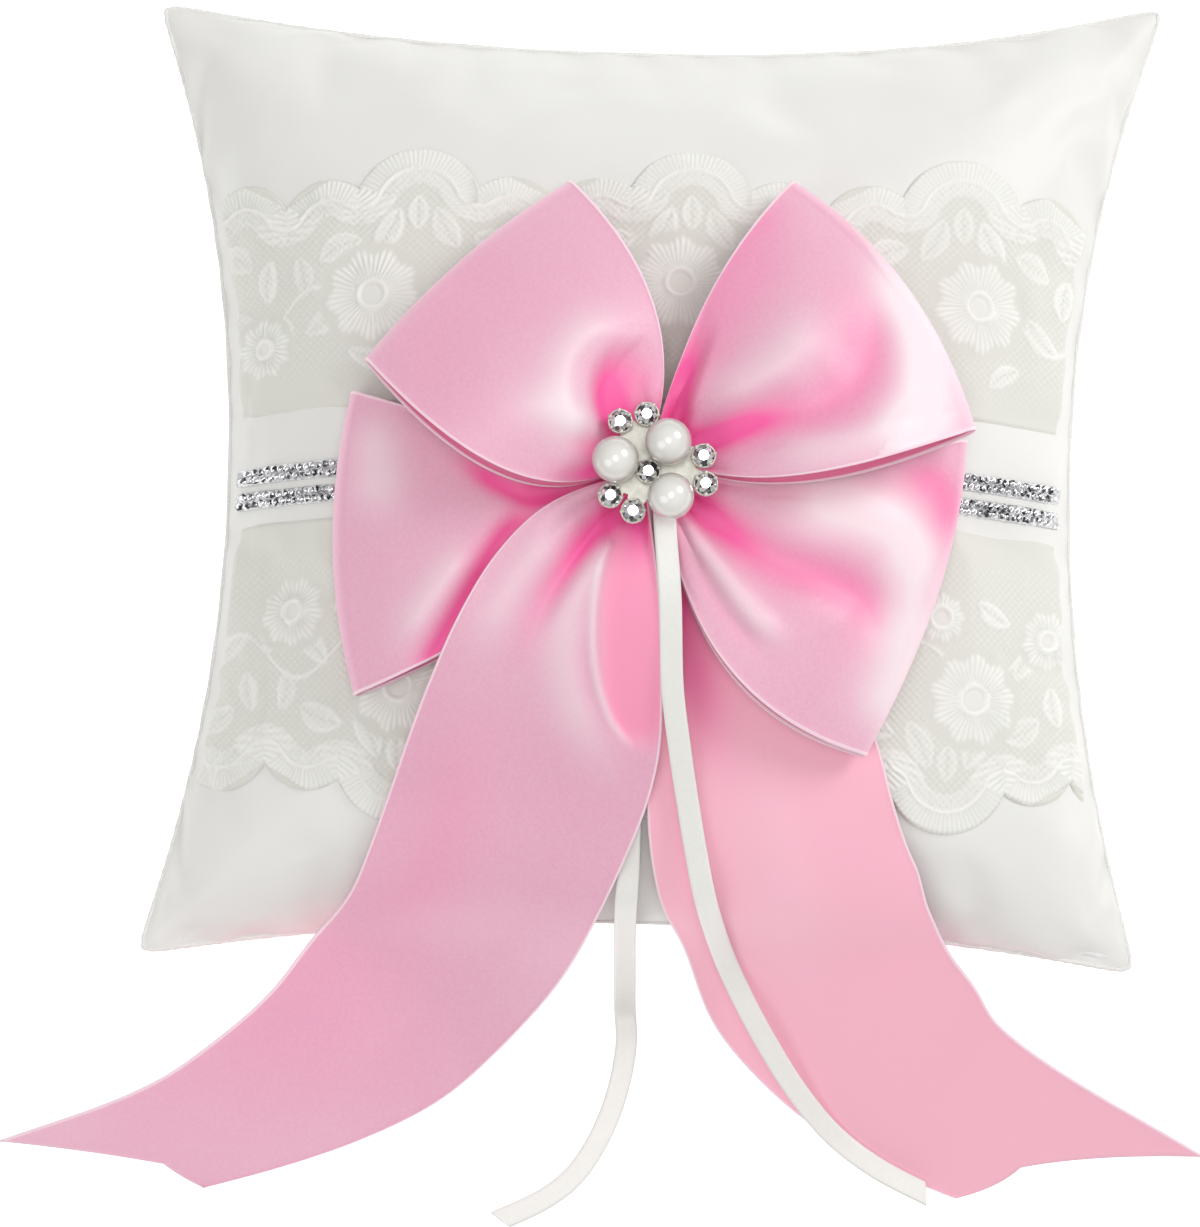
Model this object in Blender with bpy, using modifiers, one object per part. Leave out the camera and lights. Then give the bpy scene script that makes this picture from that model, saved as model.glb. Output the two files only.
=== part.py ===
"""Ring bearer pillow: a stuffed satin cushion lying on its back, face up, with lace, rhinestone
trim, a four-loop bow with two long tails, two narrow ring ribbons and a pearl brooch.

Metres, +Z up. The origin is the centre of the flat patch that the cushion rests on. +X runs to
the cushion's right side and +Y towards its top edge.
"""

import math

import bmesh
import bpy
from mathutils import Vector

MM = 0.001

# Cushion: the seam outline has long corners and sides that pull in between them.
CORNER_X, CORNER_Y = 101 * MM, 96 * MM
WAIST_X, WAIST_Y = 84.5 * MM, 88.2 * MM
PULL_IN_POWER = 2.1
SEAM_Z = 24 * MM
CROWN_HEIGHT = 36 * MM  # above the seam
BELLY_DEPTH = 30 * MM  # below the seam, before the cushion flattens where it rests
CROWN_POWER = 0.62
COVER_THICKNESS = 0.6 * MM
COVER_SEGMENTS = 16
FILLING_SEGMENTS = 12
FILLING_CLEARANCE = 0.6 * MM
FILLING_EDGE = 1.0 * MM  # half of the filling's thickness at the seam
THREAD_DIAMETER = 0.8 * MM
SEAM_GAP = 1.8 * MM  # between the covers' rims, which the seam thread fills
TOUCH_GAP = 0.3 * MM  # between neighbours that touch on the real cushion

# Lace bands and rhinestone trims, sewn into the side seams.
SEAM_REACH = 0.985  # share of the half width at which lace and trims end
LACE_THICKNESS = 0.4 * MM
LACE_LIFT = 0.85 * MM
LACE_INNER_Y = 11 * MM
UPPER_LACE_Y, LOWER_LACE_Y = 56 * MM, 62 * MM
SCALLOP_PITCH = 53.5 * MM
SCALLOP_BIG, SCALLOP_SMALL = 5 * MM, 3.5 * MM
UPPER_SCALLOP_X, LOWER_SCALLOP_X = 7 * MM, 59 * MM
TRIM_HEIGHT = 3.4 * MM
TRIM_THICKNESS = 1.2 * MM
TRIM_LIFT = 0.9 * MM
TRIM_PITCH = 4.9 * MM
TRIM_Y = -1.5 * MM

# Bow: 50 mm satin ribbon, gathered round a stitched binding under the brooch.
KNOT = Vector((0, -3 * MM))
BINDING_RADIUS = 4 * MM
BINDING_LIFT = 1.9 * MM
BINDING_HEIGHT = 11.0 * MM
GATHER_RADIUS = 5.6 * MM
RIBBON_THICKNESS = 0.5 * MM
FLOOR_CLEARANCE = 0.8 * MM
FOLD_INSET = 0.96  # where a loop's leaves meet its rounded fold, as a share of its length
LEAF_STEPS, FOLD_STEPS, LEAF_COLUMNS = 10, 4, 6

# Each loop: where its two sides leave the knot (degrees), each side's pull point and far
# corner, the fold's pull point, all in millimetres from the cushion's centre, and the heights
# over the cushion of its lower leaf (knot, far side a, far side b) and of its opening
# (at the knot, in the belly, at the fold).
LOOPS = {
    "bow_loop_upper_left": {
        "gather": (95, 172),
        "side_a": ((9, 27), (-17, 55)),
        "side_b": ((-27, -18), (-56, 17)),
        "fold": (-39, 39),
        "leaf": (6.6, 4.0, 14.5),
        "gap": (3.4, 8.0, 6.0),
    },
    "bow_loop_upper_right": {
        "gather": (85, 8),
        "side_a": ((8, 34), (27, 56)),
        "side_b": ((29, -12), (63, 6)),
        "fold": (53, 38),
        "leaf": (6.6, 4.0, 15.5),
        "gap": (3.4, 9.0, 6.0),
    },
    "bow_loop_lower_left": {
        "gather": (176, 240),
        "side_a": ((-30, -8), (-59, 13)),
        "side_b": ((-25, -36), (-57, -47)),
        "fold": (-66, -17),
        "leaf": (2.2, 2.4, 2.4),
        "gap": (3.0, 4.5, 5.0),
    },
    "bow_loop_lower_right": {
        "gather": (4, -60),
        "side_a": ((35, -9), (61, 4)),
        "side_b": ((8, -50), (43, -57)),
        "fold": (61.5, -22),
        "leaf": (3.2, 3.6, 4.4),
        "gap": (2.4, 7.0, 5.0),
    },
}

# Each tail: stations of its two edges in millimetres, as (x, y, height) for the left and the
# right edge. Heights are over the cushion's face. From the station named below on, heights are
# over the floor instead, and y is measured from the cushion's lower edge. The cut end has a
# notch, given as its place across the ribbon and its depth as a share of the tail.
TAIL_CLEARANCE = 2.1 * MM  # over the cushion's face, past the lace
EDGE_MARGIN = 1.5 * MM  # the tails clear the seam by this much
TAIL_STEPS, TAIL_COLUMNS = 32, 5
TAILS = {
    "bow_tail_left": {
        "past_edge_from": 6,
        "stations": [
            ((-5.3, -4.9, 8.6), (-0.8, -8.6, 8.6)),
            ((-20, -11, 12.5), (0, -20, 12.0)),
            ((-30, -21, 13.0), (1, -33, 12.0)),
            ((-37, -33, 13.8), (2.5, -45, 9.0)),
            ((-42, -44, 11.0), (3, -56, 6.0)),
            ((-46, -54, 7.0), (1, -66, 4.0)),
            ((-50, 23, 46.5), (-2, 14, 45.5)),
            ((-54, 12, 39.5), (-8, 1, 36.5)),
            ((-58, 3, 33.5), (-16, -12, 15.0)),
            ((-65, -5, 31.5), (-27, -24, 3.5)),
            ((-73, -16, 31.0), (-39, -35, 1.2)),
            ((-84, -26, 31.0), (-54, -43, 1.2)),
            ((-97, -35, 28.0), (-70, -49, 1.2)),
            ((-127, -46, 18.0), (-87, -54, 1.2)),
        ],
        "notch": (0.66, 0.02),
    },
    "bow_tail_right": {
        "past_edge_from": 5,
        "stations": [
            ((2.2, -8.2, 1.6), (4.8, -6.6, 1.6)),
            ((2.2, -25, 1.6), (17, -19, 1.6)),
            ((1.8, -40, 1.6), (32, -30, 1.6)),
            ((0.8, -55, 1.6), (41, -44, 1.6)),
            ((0.6, -66, 1.6), (46, -55, 1.6)),
            ((1.5, 12.5, 43.5), (49, 23, 47.0)),
            ((4, 2.5, 35.0), (52.5, 14, 41.0)),
            ((9, -5, 21.5), (54.6, 10, 37.5)),
            ((15, -19, 8.0), (56.5, 4, 33.5)),
            ((26, -31, 1.8), (58.5, 0, 31.5)),
            ((36, -39, 1.2), (62, -6, 29.5)),
            ((47, -45.5, 1.2), (67, -12, 28.0)),
            ((57, -50, 1.2), (72, -20, 26.0)),
            ((65, -53, 1.2), (114, -44, 14.0)),
        ],
        "notch": (0.38, 0.02),
    },
}

# Ring ribbons: 4.4 mm satin, from the knot to their cut ends. Their points are (x, y, height).
RING_RIBBON_WIDTH = 4.4 * MM
RING_RIBBON_THICKNESS = 0.5 * MM
FLOOR_CLEARANCE = 0.8 * MM
RING_RIBBON_POINTS = 54
RING_RIBBONS = {
    "ring_ribbon_right": [
        (2.5, -8.6, 9.5), (3, -16, 11.5), (4.2, -29, 11.5), (5, -45, 9.0), (7, -58, 6.4),
        (8.5, -66, 5.0), (10.5, -76, 6.2), (13, -86, 9.4), (17.5, -96, 21.5),
        (24, -108, 14.8), (32, -120, 8.0), (40, -129, 4.2), (49, -135.5, 3.0),
        (59, -140.5, 2.8),
    ],
    "ring_ribbon_left": [
        (-1.4, -9.2, 1.8), (-2.2, -18, 1.8), (-2.8, -34, 1.8), (-3.0, -52, 1.8),
        (-2.7, -66, 1.9), (-2.7, -78, 2.2), (-3, -86, 6.0), (-3, -92, 21.0), (-2.8, -97, 10.0),
        (-2.6, -104, 1.5),
        (-2.2, -112, 1.0), (-4, -122, 1.0), (-7.5, -131, 1.0), (-12, -138, 1.0),
        (-18, -143, 1.0), (-27, -147.5, 1.0),
    ],
}

# Brooch: cast base with three pearls and seven crystals in cups. Offsets from the knot in mm.
BASE_LIFT = 13.4 * MM
BASE_THICKNESS = 0.8 * MM
BASE_RADIUS, BASE_LOBE = 6.0 * MM, 4.4 * MM
BASE_LOBE_SPREAD = 0.24  # radians
PEARL_RADIUS = 4.5 * MM
PEARLS = [(-7.0, 0.8), (3.1, 4.5), (3.8, -6.1)]
CUP_RADIUS, CUP_WALL, CUP_FLOOR, CUP_HEIGHT = 2.4 * MM, 0.3 * MM, 0.4 * MM, 1.5 * MM
CRYSTAL_TABLE_SHARE = 0.6
CRYSTAL_CROWN = 0.7 * MM
CRYSTALS = [(-0.6, -1.4), (-6.2, 8.6), (-1.1, 10.0), (10.0, 1.9), (10.5, -3.5), (-7.8, -5.8), (-3.4, -8.8)]


def clear_scene():
    for obj in list(bpy.data.objects):
        bpy.data.objects.remove(obj, do_unlink=True)


def make_material(name, colour, roughness, metallic=0.0):
    material = bpy.data.materials.new(name)
    material.use_nodes = True
    shader = material.node_tree.nodes["Principled BSDF"]
    shader.inputs["Base Color"].default_value = (*colour, 1.0)
    shader.inputs["Roughness"].default_value = roughness
    shader.inputs["Metallic"].default_value = metallic
    material.diffuse_color = (*colour, 1.0)
    return material


def make_materials():
    return {
        "white_satin": make_material("white_satin", (0.88, 0.87, 0.84), 0.45),
        "fibre": make_material("fibre", (0.92, 0.92, 0.90), 0.95),
        "thread": make_material("thread", (0.90, 0.89, 0.86), 0.8),
        "lace": make_material("lace", (0.86, 0.85, 0.80), 0.85),
        "rhinestone_trim": make_material("rhinestone_trim", (0.70, 0.71, 0.73), 0.15, 1.0),
        "pink_satin": make_material("pink_satin", (0.84, 0.33, 0.50), 0.4),
        "ivory_satin": make_material("ivory_satin", (0.87, 0.86, 0.82), 0.4),
        "brooch_metal": make_material("brooch_metal", (0.83, 0.82, 0.78), 0.25, 0.9),
        "pearl": make_material("pearl", (0.93, 0.91, 0.88), 0.12),
        "crystal": make_material("crystal", (0.88, 0.90, 0.92), 0.03),
    }


def add_object(name, data, material, collection):
    obj = bpy.data.objects.new(name, data)
    collection.objects.link(obj)
    data.materials.append(material)
    return obj


def grid_mesh(name, rows, columns, place, reverse=False):
    """A sheet of rows by columns faces; place(s, t) gives the point for shares 0 to 1."""
    bm = bmesh.new()
    bmesh.ops.create_grid(bm, x_segments=rows, y_segments=columns, size=1.0)
    for vert in bm.verts:
        vert.co = place((vert.co.x + 1) / 2, (vert.co.y + 1) / 2)
    if reverse:
        bmesh.ops.reverse_faces(bm, faces=bm.faces)
    mesh = bpy.data.meshes.new(name)
    bm.to_mesh(mesh)
    bm.free()
    mesh.shade_smooth()
    return mesh


def thicken(obj, thickness, offset):
    solidify = obj.modifiers.new("thickness", "SOLIDIFY")
    solidify.thickness = thickness
    solidify.offset = offset
    solidify.use_even_offset = False


def mix(a, b, share):
    return a + (b - a) * share


# ---- the cushion's surface -------------------------------------------------------------


def half_width(v):
    return WAIST_X + (CORNER_X - WAIST_X) * abs(v) ** PULL_IN_POWER


def half_depth(u):
    return WAIST_Y + (CORNER_Y - WAIST_Y) * abs(u) ** PULL_IN_POWER


def crown(share):
    return max(0.0, 1 - share * share) ** CROWN_POWER


def face_point(u, v):
    """A point of the cushion's face, u and v from -1 to 1 between its seams."""
    rise = CROWN_HEIGHT * crown(u) * crown(v)
    return Vector((u * half_width(v), v * half_depth(u), SEAM_Z + SEAM_GAP / 2 + rise))


def back_point(u, v):
    """A point of the cushion's back, flat where the cushion rests."""
    drop = BELLY_DEPTH * crown(u) * crown(v)
    low = SEAM_Z - SEAM_GAP / 2 - drop
    return Vector((u * half_width(v), v * half_depth(u), max(0.0, low)))


def spread(share):
    """Shares 0 to 1 to -1 to 1, closer together near the seams."""
    return math.sin(math.pi / 2 * (2 * share - 1))


def face_normal(u, v):
    step = 0.002
    along = face_point(u + step, v) - face_point(u - step, v)
    across = face_point(u, v + step) - face_point(u, v - step)
    return along.cross(across).normalized()


def lifted(u, v, lift):
    return face_point(u, v) + face_normal(u, v) * lift


def shares_at(x, y):
    """The cushion's u and v at a place in the plan."""
    u = v = 0.0
    for _ in range(30):
        u = max(-1.0, min(1.0, x / half_width(v)))
        v = max(-1.0, min(1.0, y / half_depth(u)))
    return u, v


def ground(x, y):
    """Height of the cushion's face, or of the floor outside its outline."""
    u, v = shares_at(x, y)
    if abs(u) >= 1 or abs(v) >= 1:
        return 0.0
    return face_point(u, v).z


# ---- the cushion -----------------------------------------------------------------------


def make_covers(materials, collection):
    for name, surface, reverse in (("front_cover", face_point, False), ("back_cover", back_point, True)):
        def place(s, t, surface=surface):
            return surface(spread(s), spread(t))
        mesh = grid_mesh(name, COVER_SEGMENTS, COVER_SEGMENTS, place, reverse)
        thicken(add_object(name, mesh, materials["white_satin"], collection), COVER_THICKNESS, -1)


def make_filling(materials, collection):
    inset = COVER_THICKNESS + FILLING_CLEARANCE
    bm = bmesh.new()
    bmesh.ops.create_grid(bm, x_segments=FILLING_SEGMENTS, y_segments=FILLING_SEGMENTS, size=1.0)
    upper = list(bm.verts)
    made = bmesh.ops.extrude_face_region(bm, geom=list(bm.faces))
    lower = [item for item in made["geom"] if isinstance(item, bmesh.types.BMVert)]
    reach = 1 - 3 * inset / WAIST_X
    for side, verts in ((1, upper), (-1, lower)):
        surface = face_point if side > 0 else back_point
        for vert in verts:
            u, v = (reach * math.sin(math.pi / 2 * c) for c in (vert.co.x, vert.co.y))
            point = surface(u, v)
            point.z = max(inset, point.z) if side < 0 else point.z
            level = SEAM_Z + side * FILLING_EDGE
            inner = point.z - side * 2 * inset
            point.z = max(level, inner) if side > 0 else max(inset, min(level, inner))
            vert.co = point
    bmesh.ops.recalc_face_normals(bm, faces=bm.faces)
    mesh = bpy.data.meshes.new("fibre_filling")
    bm.to_mesh(mesh)
    bm.free()
    add_object("fibre_filling", mesh, materials["fibre"], collection)


def seam_outline(steps):
    """Points round the seam, steps to a side."""
    points = []
    for side in range(4):
        for i in range(steps):
            share = spread(i / steps)
            u, v = ((share, -1), (1, share), (-share, 1), (-1, -share))[side]
            points.append(Vector((u * half_width(v), v * half_depth(u), SEAM_Z)))
    return points


def make_seam_thread(materials, collection):
    curve = bpy.data.curves.new("seam_thread", "CURVE")
    curve.dimensions = "3D"
    curve.bevel_depth = THREAD_DIAMETER / 2
    curve.bevel_resolution = 0
    outline = seam_outline(COVER_SEGMENTS)
    spline = curve.splines.new("POLY")
    spline.points.add(len(outline) - 1)
    for point, place in zip(spline.points, outline):
        point.co = (*place, 1)
    spline.use_cyclic_u = True
    add_object("seam_thread", curve, materials["thread"], collection)


# ---- lace and rhinestone trim ----------------------------------------------------------


def scallop(x, centre):
    turn = 2 * math.pi * (x - centre) / SCALLOP_PITCH
    return SCALLOP_BIG * math.cos(turn) + SCALLOP_SMALL * math.cos(2 * turn)


def band_point(s, y_at, lift):
    u = SEAM_REACH * spread(s)
    v = y_at(u * WAIST_X) / half_depth(u)
    return lifted(u, v, lift)


def make_lace(materials, collection):
    bands = (
        ("upper_lace", 1, UPPER_LACE_Y, UPPER_SCALLOP_X),
        ("lower_lace", -1, LOWER_LACE_Y, LOWER_SCALLOP_X),
    )
    for name, side, reach, centre in bands:
        def place(s, t, side=side, reach=reach, centre=centre):
            def y_at(x):
                return side * mix(LACE_INNER_Y, reach + scallop(x, centre), t)
            return band_point(s, y_at, LACE_LIFT)
        mesh = grid_mesh(name, COVER_SEGMENTS, 8, place)
        thicken(add_object(name, mesh, materials["lace"], collection), LACE_THICKNESS, 0)


def make_trims(materials, collection):
    for name, side in (("upper_rhinestone_trim", 1), ("lower_rhinestone_trim", -1)):
        centre = TRIM_Y + side * TRIM_PITCH / 2

        def place(s, t, centre=centre):
            return band_point(s, lambda x: centre + (t - 0.5) * TRIM_HEIGHT, TRIM_LIFT)
        mesh = grid_mesh(name, COVER_SEGMENTS, 2, place)
        thicken(add_object(name, mesh, materials["rhinestone_trim"], collection), TRIM_THICKNESS, 0)


# ---- the bow ---------------------------------------------------------------------------


def plan(pair):
    return Vector(pair) * MM


def bend(start, pull, end, share):
    """A point on the arc from start to end that pull draws to itself."""
    return mix(mix(start, pull, share), mix(pull, end, share), share)


def gather_point(degrees):
    angle = math.radians(degrees)
    return KNOT + Vector((math.cos(angle), math.sin(angle))) * GATHER_RADIUS


def leaf_plan(loop, s, t):
    """The plan of a loop's leaf, s from the knot to the fold and t from side a to side b."""
    pull_a, far_a = (plan(p) for p in loop["side_a"])
    pull_b, far_b = (plan(p) for p in loop["side_b"])
    side_a = bend(gather_point(loop["gather"][0]), pull_a, far_a, s)
    side_b = bend(gather_point(loop["gather"][1]), pull_b, far_b, s)
    bulge = bend(far_a, plan(loop["fold"]), far_b, t) - mix(far_a, far_b, t)
    return mix(side_a, side_b, t) + bulge * s * s


def leaf_heights(loop, s, t):
    """Heights of the loop's lower leaf and of its opening over the cushion."""
    at_knot, far_a, far_b = (h * MM for h in loop["leaf"])
    gap_knot, belly, gap_fold = (h * MM for h in loop["gap"])
    low = mix(at_knot, mix(far_a, far_b, t), s**1.4)
    swell = 6.75 * s * s * (1 - s) * mix(0.4, 1.0, math.sin(math.pi * t / 2))
    return low, mix(gap_knot, gap_fold, s) + belly * swell


def loop_point(loop, share, t):
    """The ribbon's point, share 0 to 1 out along the lower leaf, round the fold and back."""
    fold_share = FOLD_STEPS / (2 * LEAF_STEPS + FOLD_STEPS)
    leaf_share = (1 - fold_share) / 2
    if share <= leaf_share:
        s, turn = FOLD_INSET * share / leaf_share, -1.0
    elif share >= 1 - leaf_share:
        s, turn = FOLD_INSET * (1 - share) / leaf_share, 1.0
    else:
        angle = math.pi * ((share - leaf_share) / fold_share - 0.5)
        s, turn = FOLD_INSET + (1 - FOLD_INSET) * math.cos(angle), math.sin(angle)
    place = leaf_plan(loop, s, t)
    low, gap = leaf_heights(loop, min(s, FOLD_INSET), t)
    return Vector((*place, ground(*place) + low + gap * (turn + 1) / 2))


def make_loops(materials, collection):
    rows = 2 * LEAF_STEPS + FOLD_STEPS
    for name, loop in LOOPS.items():
        def place(s, t, loop=loop):
            return loop_point(loop, s, t)
        mesh = grid_mesh(name, rows, LEAF_COLUMNS, place)
        thicken(add_object(name, mesh, materials["pink_satin"], collection), RIBBON_THICKNESS, 0)


def smooth_between(points, share):
    """A point on the smooth curve through the points, share from 0 to 1."""
    last = len(points) - 1
    at = min(max(share, 0.0) * last, last - 1e-9)
    i = int(at)
    f = at - i
    before, here = points[max(i - 1, 0)], points[i]
    there, after = points[i + 1], points[min(i + 2, last)]
    return 0.5 * (
        2 * here + (there - before) * f
        + (2 * before - 5 * here + 4 * there - after) * f * f
        + (3 * here - before - 3 * there + after) * f * f * f
    )


def placed(x, y, height):
    return Vector((x, y, ground(x, y) + height))


def tail_edges(tail):
    edges = ([], [])
    for number, station in enumerate(tail["stations"]):
        from_edge = number >= tail["past_edge_from"]
        for edge, (x, y, height) in zip(edges, station):
            if from_edge:
                edge.append(Vector((x * MM, y * MM - WAIST_Y, height * MM)))
            else:
                edge.append(placed(x * MM, y * MM, height * MM))
    return edges


def tail_point(tail, edges, s, t):
    """t from the left edge to the right; the cut end has a notch."""
    across, depth = tail["notch"]
    cut = t / across if t < across else (1 - t) / (1 - across)
    reach = 1 - cut * depth
    point = mix(smooth_between(edges[0], s * reach), smooth_between(edges[1], s * reach), t)
    inward = 1 - EDGE_MARGIN / WAIST_Y
    under = ground(point.x * inward, point.y * inward)
    point.z = max(point.z, under + TAIL_CLEARANCE if under else FLOOR_CLEARANCE)
    return point


def make_tails(materials, collection):
    for name, tail in TAILS.items():
        edges = tail_edges(tail)

        def place(s, t, tail=tail, edges=edges):
            return tail_point(tail, edges, s, t)
        mesh = grid_mesh(name, TAIL_STEPS, TAIL_COLUMNS, place)
        thicken(add_object(name, mesh, materials["pink_satin"], collection), RIBBON_THICKNESS, 0)


def make_binding(materials, collection):
    bm = bmesh.new()
    bmesh.ops.create_cone(
        bm, cap_ends=True, segments=16, radius1=BINDING_RADIUS, radius2=BINDING_RADIUS, depth=BINDING_HEIGHT
    )
    mesh = bpy.data.meshes.new("bow_binding")
    bm.to_mesh(mesh)
    bm.free()
    obj = add_object("bow_binding", mesh, materials["pink_satin"], collection)
    obj.location = (*KNOT, ground(*KNOT) + BINDING_LIFT + BINDING_HEIGHT / 2)


def make_ring_ribbons(materials, collection):
    for name, points in RING_RIBBONS.items():
        route = [placed(x * MM, y * MM, height * MM) for x, y, height in points]
        curve = bpy.data.curves.new(name, "CURVE")
        curve.dimensions = "3D"
        curve.twist_mode = "Z_UP"
        curve.extrude = (RING_RIBBON_WIDTH - RING_RIBBON_THICKNESS) / 2
        curve.bevel_depth = RING_RIBBON_THICKNESS / 2
        curve.bevel_resolution = 0
        curve.use_fill_caps = True
        spline = curve.splines.new("POLY")
        spline.points.add(RING_RIBBON_POINTS - 1)
        for i, point in enumerate(spline.points):
            point.co = (*smooth_between(route, i / (RING_RIBBON_POINTS - 1)), 1)
            point.tilt = math.pi / 2
        add_object(name, curve, materials["ivory_satin"], collection)


# ---- the brooch ------------------------------------------------------------------------


def brooch_top():
    return ground(*KNOT) + BASE_LIFT + BASE_THICKNESS


def on_brooch(offset, height):
    place = KNOT + plan(offset)
    return (place.x, place.y, brooch_top() + height)


def base_radius(angle):
    """The base's outline reaches out under each stone that lies outside its middle."""
    radius = BASE_RADIUS
    for x, y in PEARLS + CRYSTALS[1:]:
        away = (angle - math.atan2(y, x) + math.pi) % (2 * math.pi) - math.pi
        reach = math.hypot(x, y) * MM + CUP_RADIUS / 2 - BASE_RADIUS
        radius = max(radius, BASE_RADIUS + min(reach, 2 * BASE_LOBE) * math.exp(-((away / BASE_LOBE_SPREAD) ** 2)))
    return radius


def make_base(materials, collection):
    curve = bpy.data.curves.new("brooch_base", "CURVE")
    curve.dimensions = "2D"
    curve.fill_mode = "BOTH"
    curve.extrude = BASE_THICKNESS / 2
    steps = 72
    spline = curve.splines.new("POLY")
    spline.points.add(steps - 1)
    for i, point in enumerate(spline.points):
        angle = 2 * math.pi * i / steps
        radius = base_radius(angle)
        point.co = (radius * math.cos(angle), radius * math.sin(angle), 0, 1)
    spline.use_cyclic_u = True
    obj = add_object("brooch_base", curve, materials["brooch_metal"], collection)
    obj.location = on_brooch((0, 0), -BASE_THICKNESS / 2)


def make_pearls(materials, collection):
    for number, offset in enumerate(PEARLS, 1):
        name = f"pearl_{number}"
        bm = bmesh.new()
        bmesh.ops.create_uvsphere(bm, u_segments=16, v_segments=10, radius=PEARL_RADIUS)
        mesh = bpy.data.meshes.new(name)
        bm.to_mesh(mesh)
        bm.free()
        mesh.shade_smooth()
        obj = add_object(name, mesh, materials["pearl"], collection)
        obj.location = on_brooch(offset, TOUCH_GAP + PEARL_RADIUS)


def turned(name, profile, steps, material, collection, location):
    """A solid turned from a profile of (radius, height) that runs down its outer side."""
    mesh = bpy.data.meshes.new(name)
    edges = [(i, i + 1) for i in range(len(profile) - 1)]
    mesh.from_pydata([(radius, 0, height) for radius, height in profile], edges, [])
    obj = add_object(name, mesh, material, collection)
    obj.location = location
    screw = obj.modifiers.new("turn", "SCREW")
    screw.steps = screw.render_steps = steps
    screw.use_merge_vertices = True
    screw.merge_threshold = 0.00005
    return obj


def make_crystals(materials, collection):
    inner = CUP_RADIUS - CUP_WALL
    girdle = inner - TOUCH_GAP
    cup = [(0, CUP_FLOOR), (inner, CUP_FLOOR), (inner, CUP_HEIGHT), (CUP_RADIUS, CUP_HEIGHT), (CUP_RADIUS, 0), (0, 0)]
    crystal = [
        (0, CUP_HEIGHT + CRYSTAL_CROWN),
        (girdle * CRYSTAL_TABLE_SHARE, CUP_HEIGHT + CRYSTAL_CROWN),
        (girdle, CUP_HEIGHT),
        (0, CUP_FLOOR + TOUCH_GAP),
    ]
    for number, offset in enumerate(CRYSTALS, 1):
        location = on_brooch(offset, TOUCH_GAP)
        turned(f"crystal_cup_{number}", cup, 12, materials["brooch_metal"], collection, location)
        turned(f"crystal_{number}", crystal, 8, materials["crystal"], collection, location)


def main():
    clear_scene()
    collection = bpy.data.collections.new("ring_bearer_pillow")
    bpy.context.scene.collection.children.link(collection)
    materials = make_materials()
    for make in (
        make_covers, make_filling, make_seam_thread, make_lace, make_trims, make_loops,
        make_tails, make_binding, make_ring_ribbons, make_base, make_pearls, make_crystals,
    ):
        make(materials, collection)


main()
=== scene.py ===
import math

import bmesh
import bpy
import numpy as np
from mathutils import Matrix, Vector


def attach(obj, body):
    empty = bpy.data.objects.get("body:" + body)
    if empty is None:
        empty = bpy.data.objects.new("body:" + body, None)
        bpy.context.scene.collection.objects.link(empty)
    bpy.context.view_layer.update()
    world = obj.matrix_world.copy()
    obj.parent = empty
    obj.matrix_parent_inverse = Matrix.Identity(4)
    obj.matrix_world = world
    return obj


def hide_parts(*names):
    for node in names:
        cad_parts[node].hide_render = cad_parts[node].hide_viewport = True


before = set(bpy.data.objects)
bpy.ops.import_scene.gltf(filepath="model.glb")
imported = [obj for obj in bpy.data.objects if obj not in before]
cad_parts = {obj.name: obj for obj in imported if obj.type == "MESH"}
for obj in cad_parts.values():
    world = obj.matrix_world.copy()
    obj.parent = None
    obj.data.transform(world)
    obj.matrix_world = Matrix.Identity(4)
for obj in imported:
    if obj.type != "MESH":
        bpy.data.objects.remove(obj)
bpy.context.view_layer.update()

MM = 0.001
RNG = np.random.default_rng(7)

# ---- sizes shared with the CAD model -----------------------------------------------------
CORNER_X, CORNER_Y = 101 * MM, 96 * MM
WAIST_X, WAIST_Y = 84.5 * MM, 88.2 * MM
PULL_IN_POWER = 2.1
SEAM_Z, SEAM_GAP = 24 * MM, 1.8 * MM
CROWN_HEIGHT, BELLY_DEPTH, CROWN_POWER = 36 * MM, 30 * MM, 0.62
SEAM_REACH = 0.985
LACE_INNER_Y, UPPER_LACE_Y, LOWER_LACE_Y = 11 * MM, 56 * MM, 62 * MM
SCALLOP_PITCH = 53.5 * MM
UPPER_SCALLOP_X, LOWER_SCALLOP_X = 7 * MM, 59 * MM
TRIM_HEIGHT, TRIM_PITCH, TRIM_Y = 3.4 * MM, 4.9 * MM, -3.6 * MM
KNOT = np.array((0.0, -3 * MM))
BINDING_RADIUS, BINDING_LIFT, BINDING_HEIGHT = 4 * MM, 1.9 * MM, 11.0 * MM
GATHER_RADIUS = 5.0 * MM
FOLD_INSET = 0.96
LEAF_RISE_POWER, SWELL_PEAK, SIDE_A_SWELL = 1.4, 4 / 27, 0.4
FLOOR_CLEARANCE, TAIL_CLEARANCE, EDGE_MARGIN = 0.8 * MM, 2.1 * MM, 1.5 * MM
RIBBON_WIDTH, RIBBON_THICKNESS = 50 * MM, 0.34 * MM
BROOCH_GAP, BASE_THICKNESS = 0.9 * MM, 0.8 * MM
PEARL_RADIUS = 4.5 * MM
CUP_RADIUS, CUP_WALL, CUP_FLOOR, CUP_HEIGHT = 2.4 * MM, 0.3 * MM, 0.4 * MM, 1.5 * MM
TOUCH_GAP = 0.3 * MM
PEARLS = [(-7.0, -0.3), (3.1, 3.4), (3.8, -7.2)]
CRYSTALS = [
    (-0.6, -2.0), (-6.2, 7.6), (-1.1, 9.1), (10.0, 1.2), (10.5, -4.2), (-7.8, -6.9), (-3.4, -9.8),
]
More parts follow.
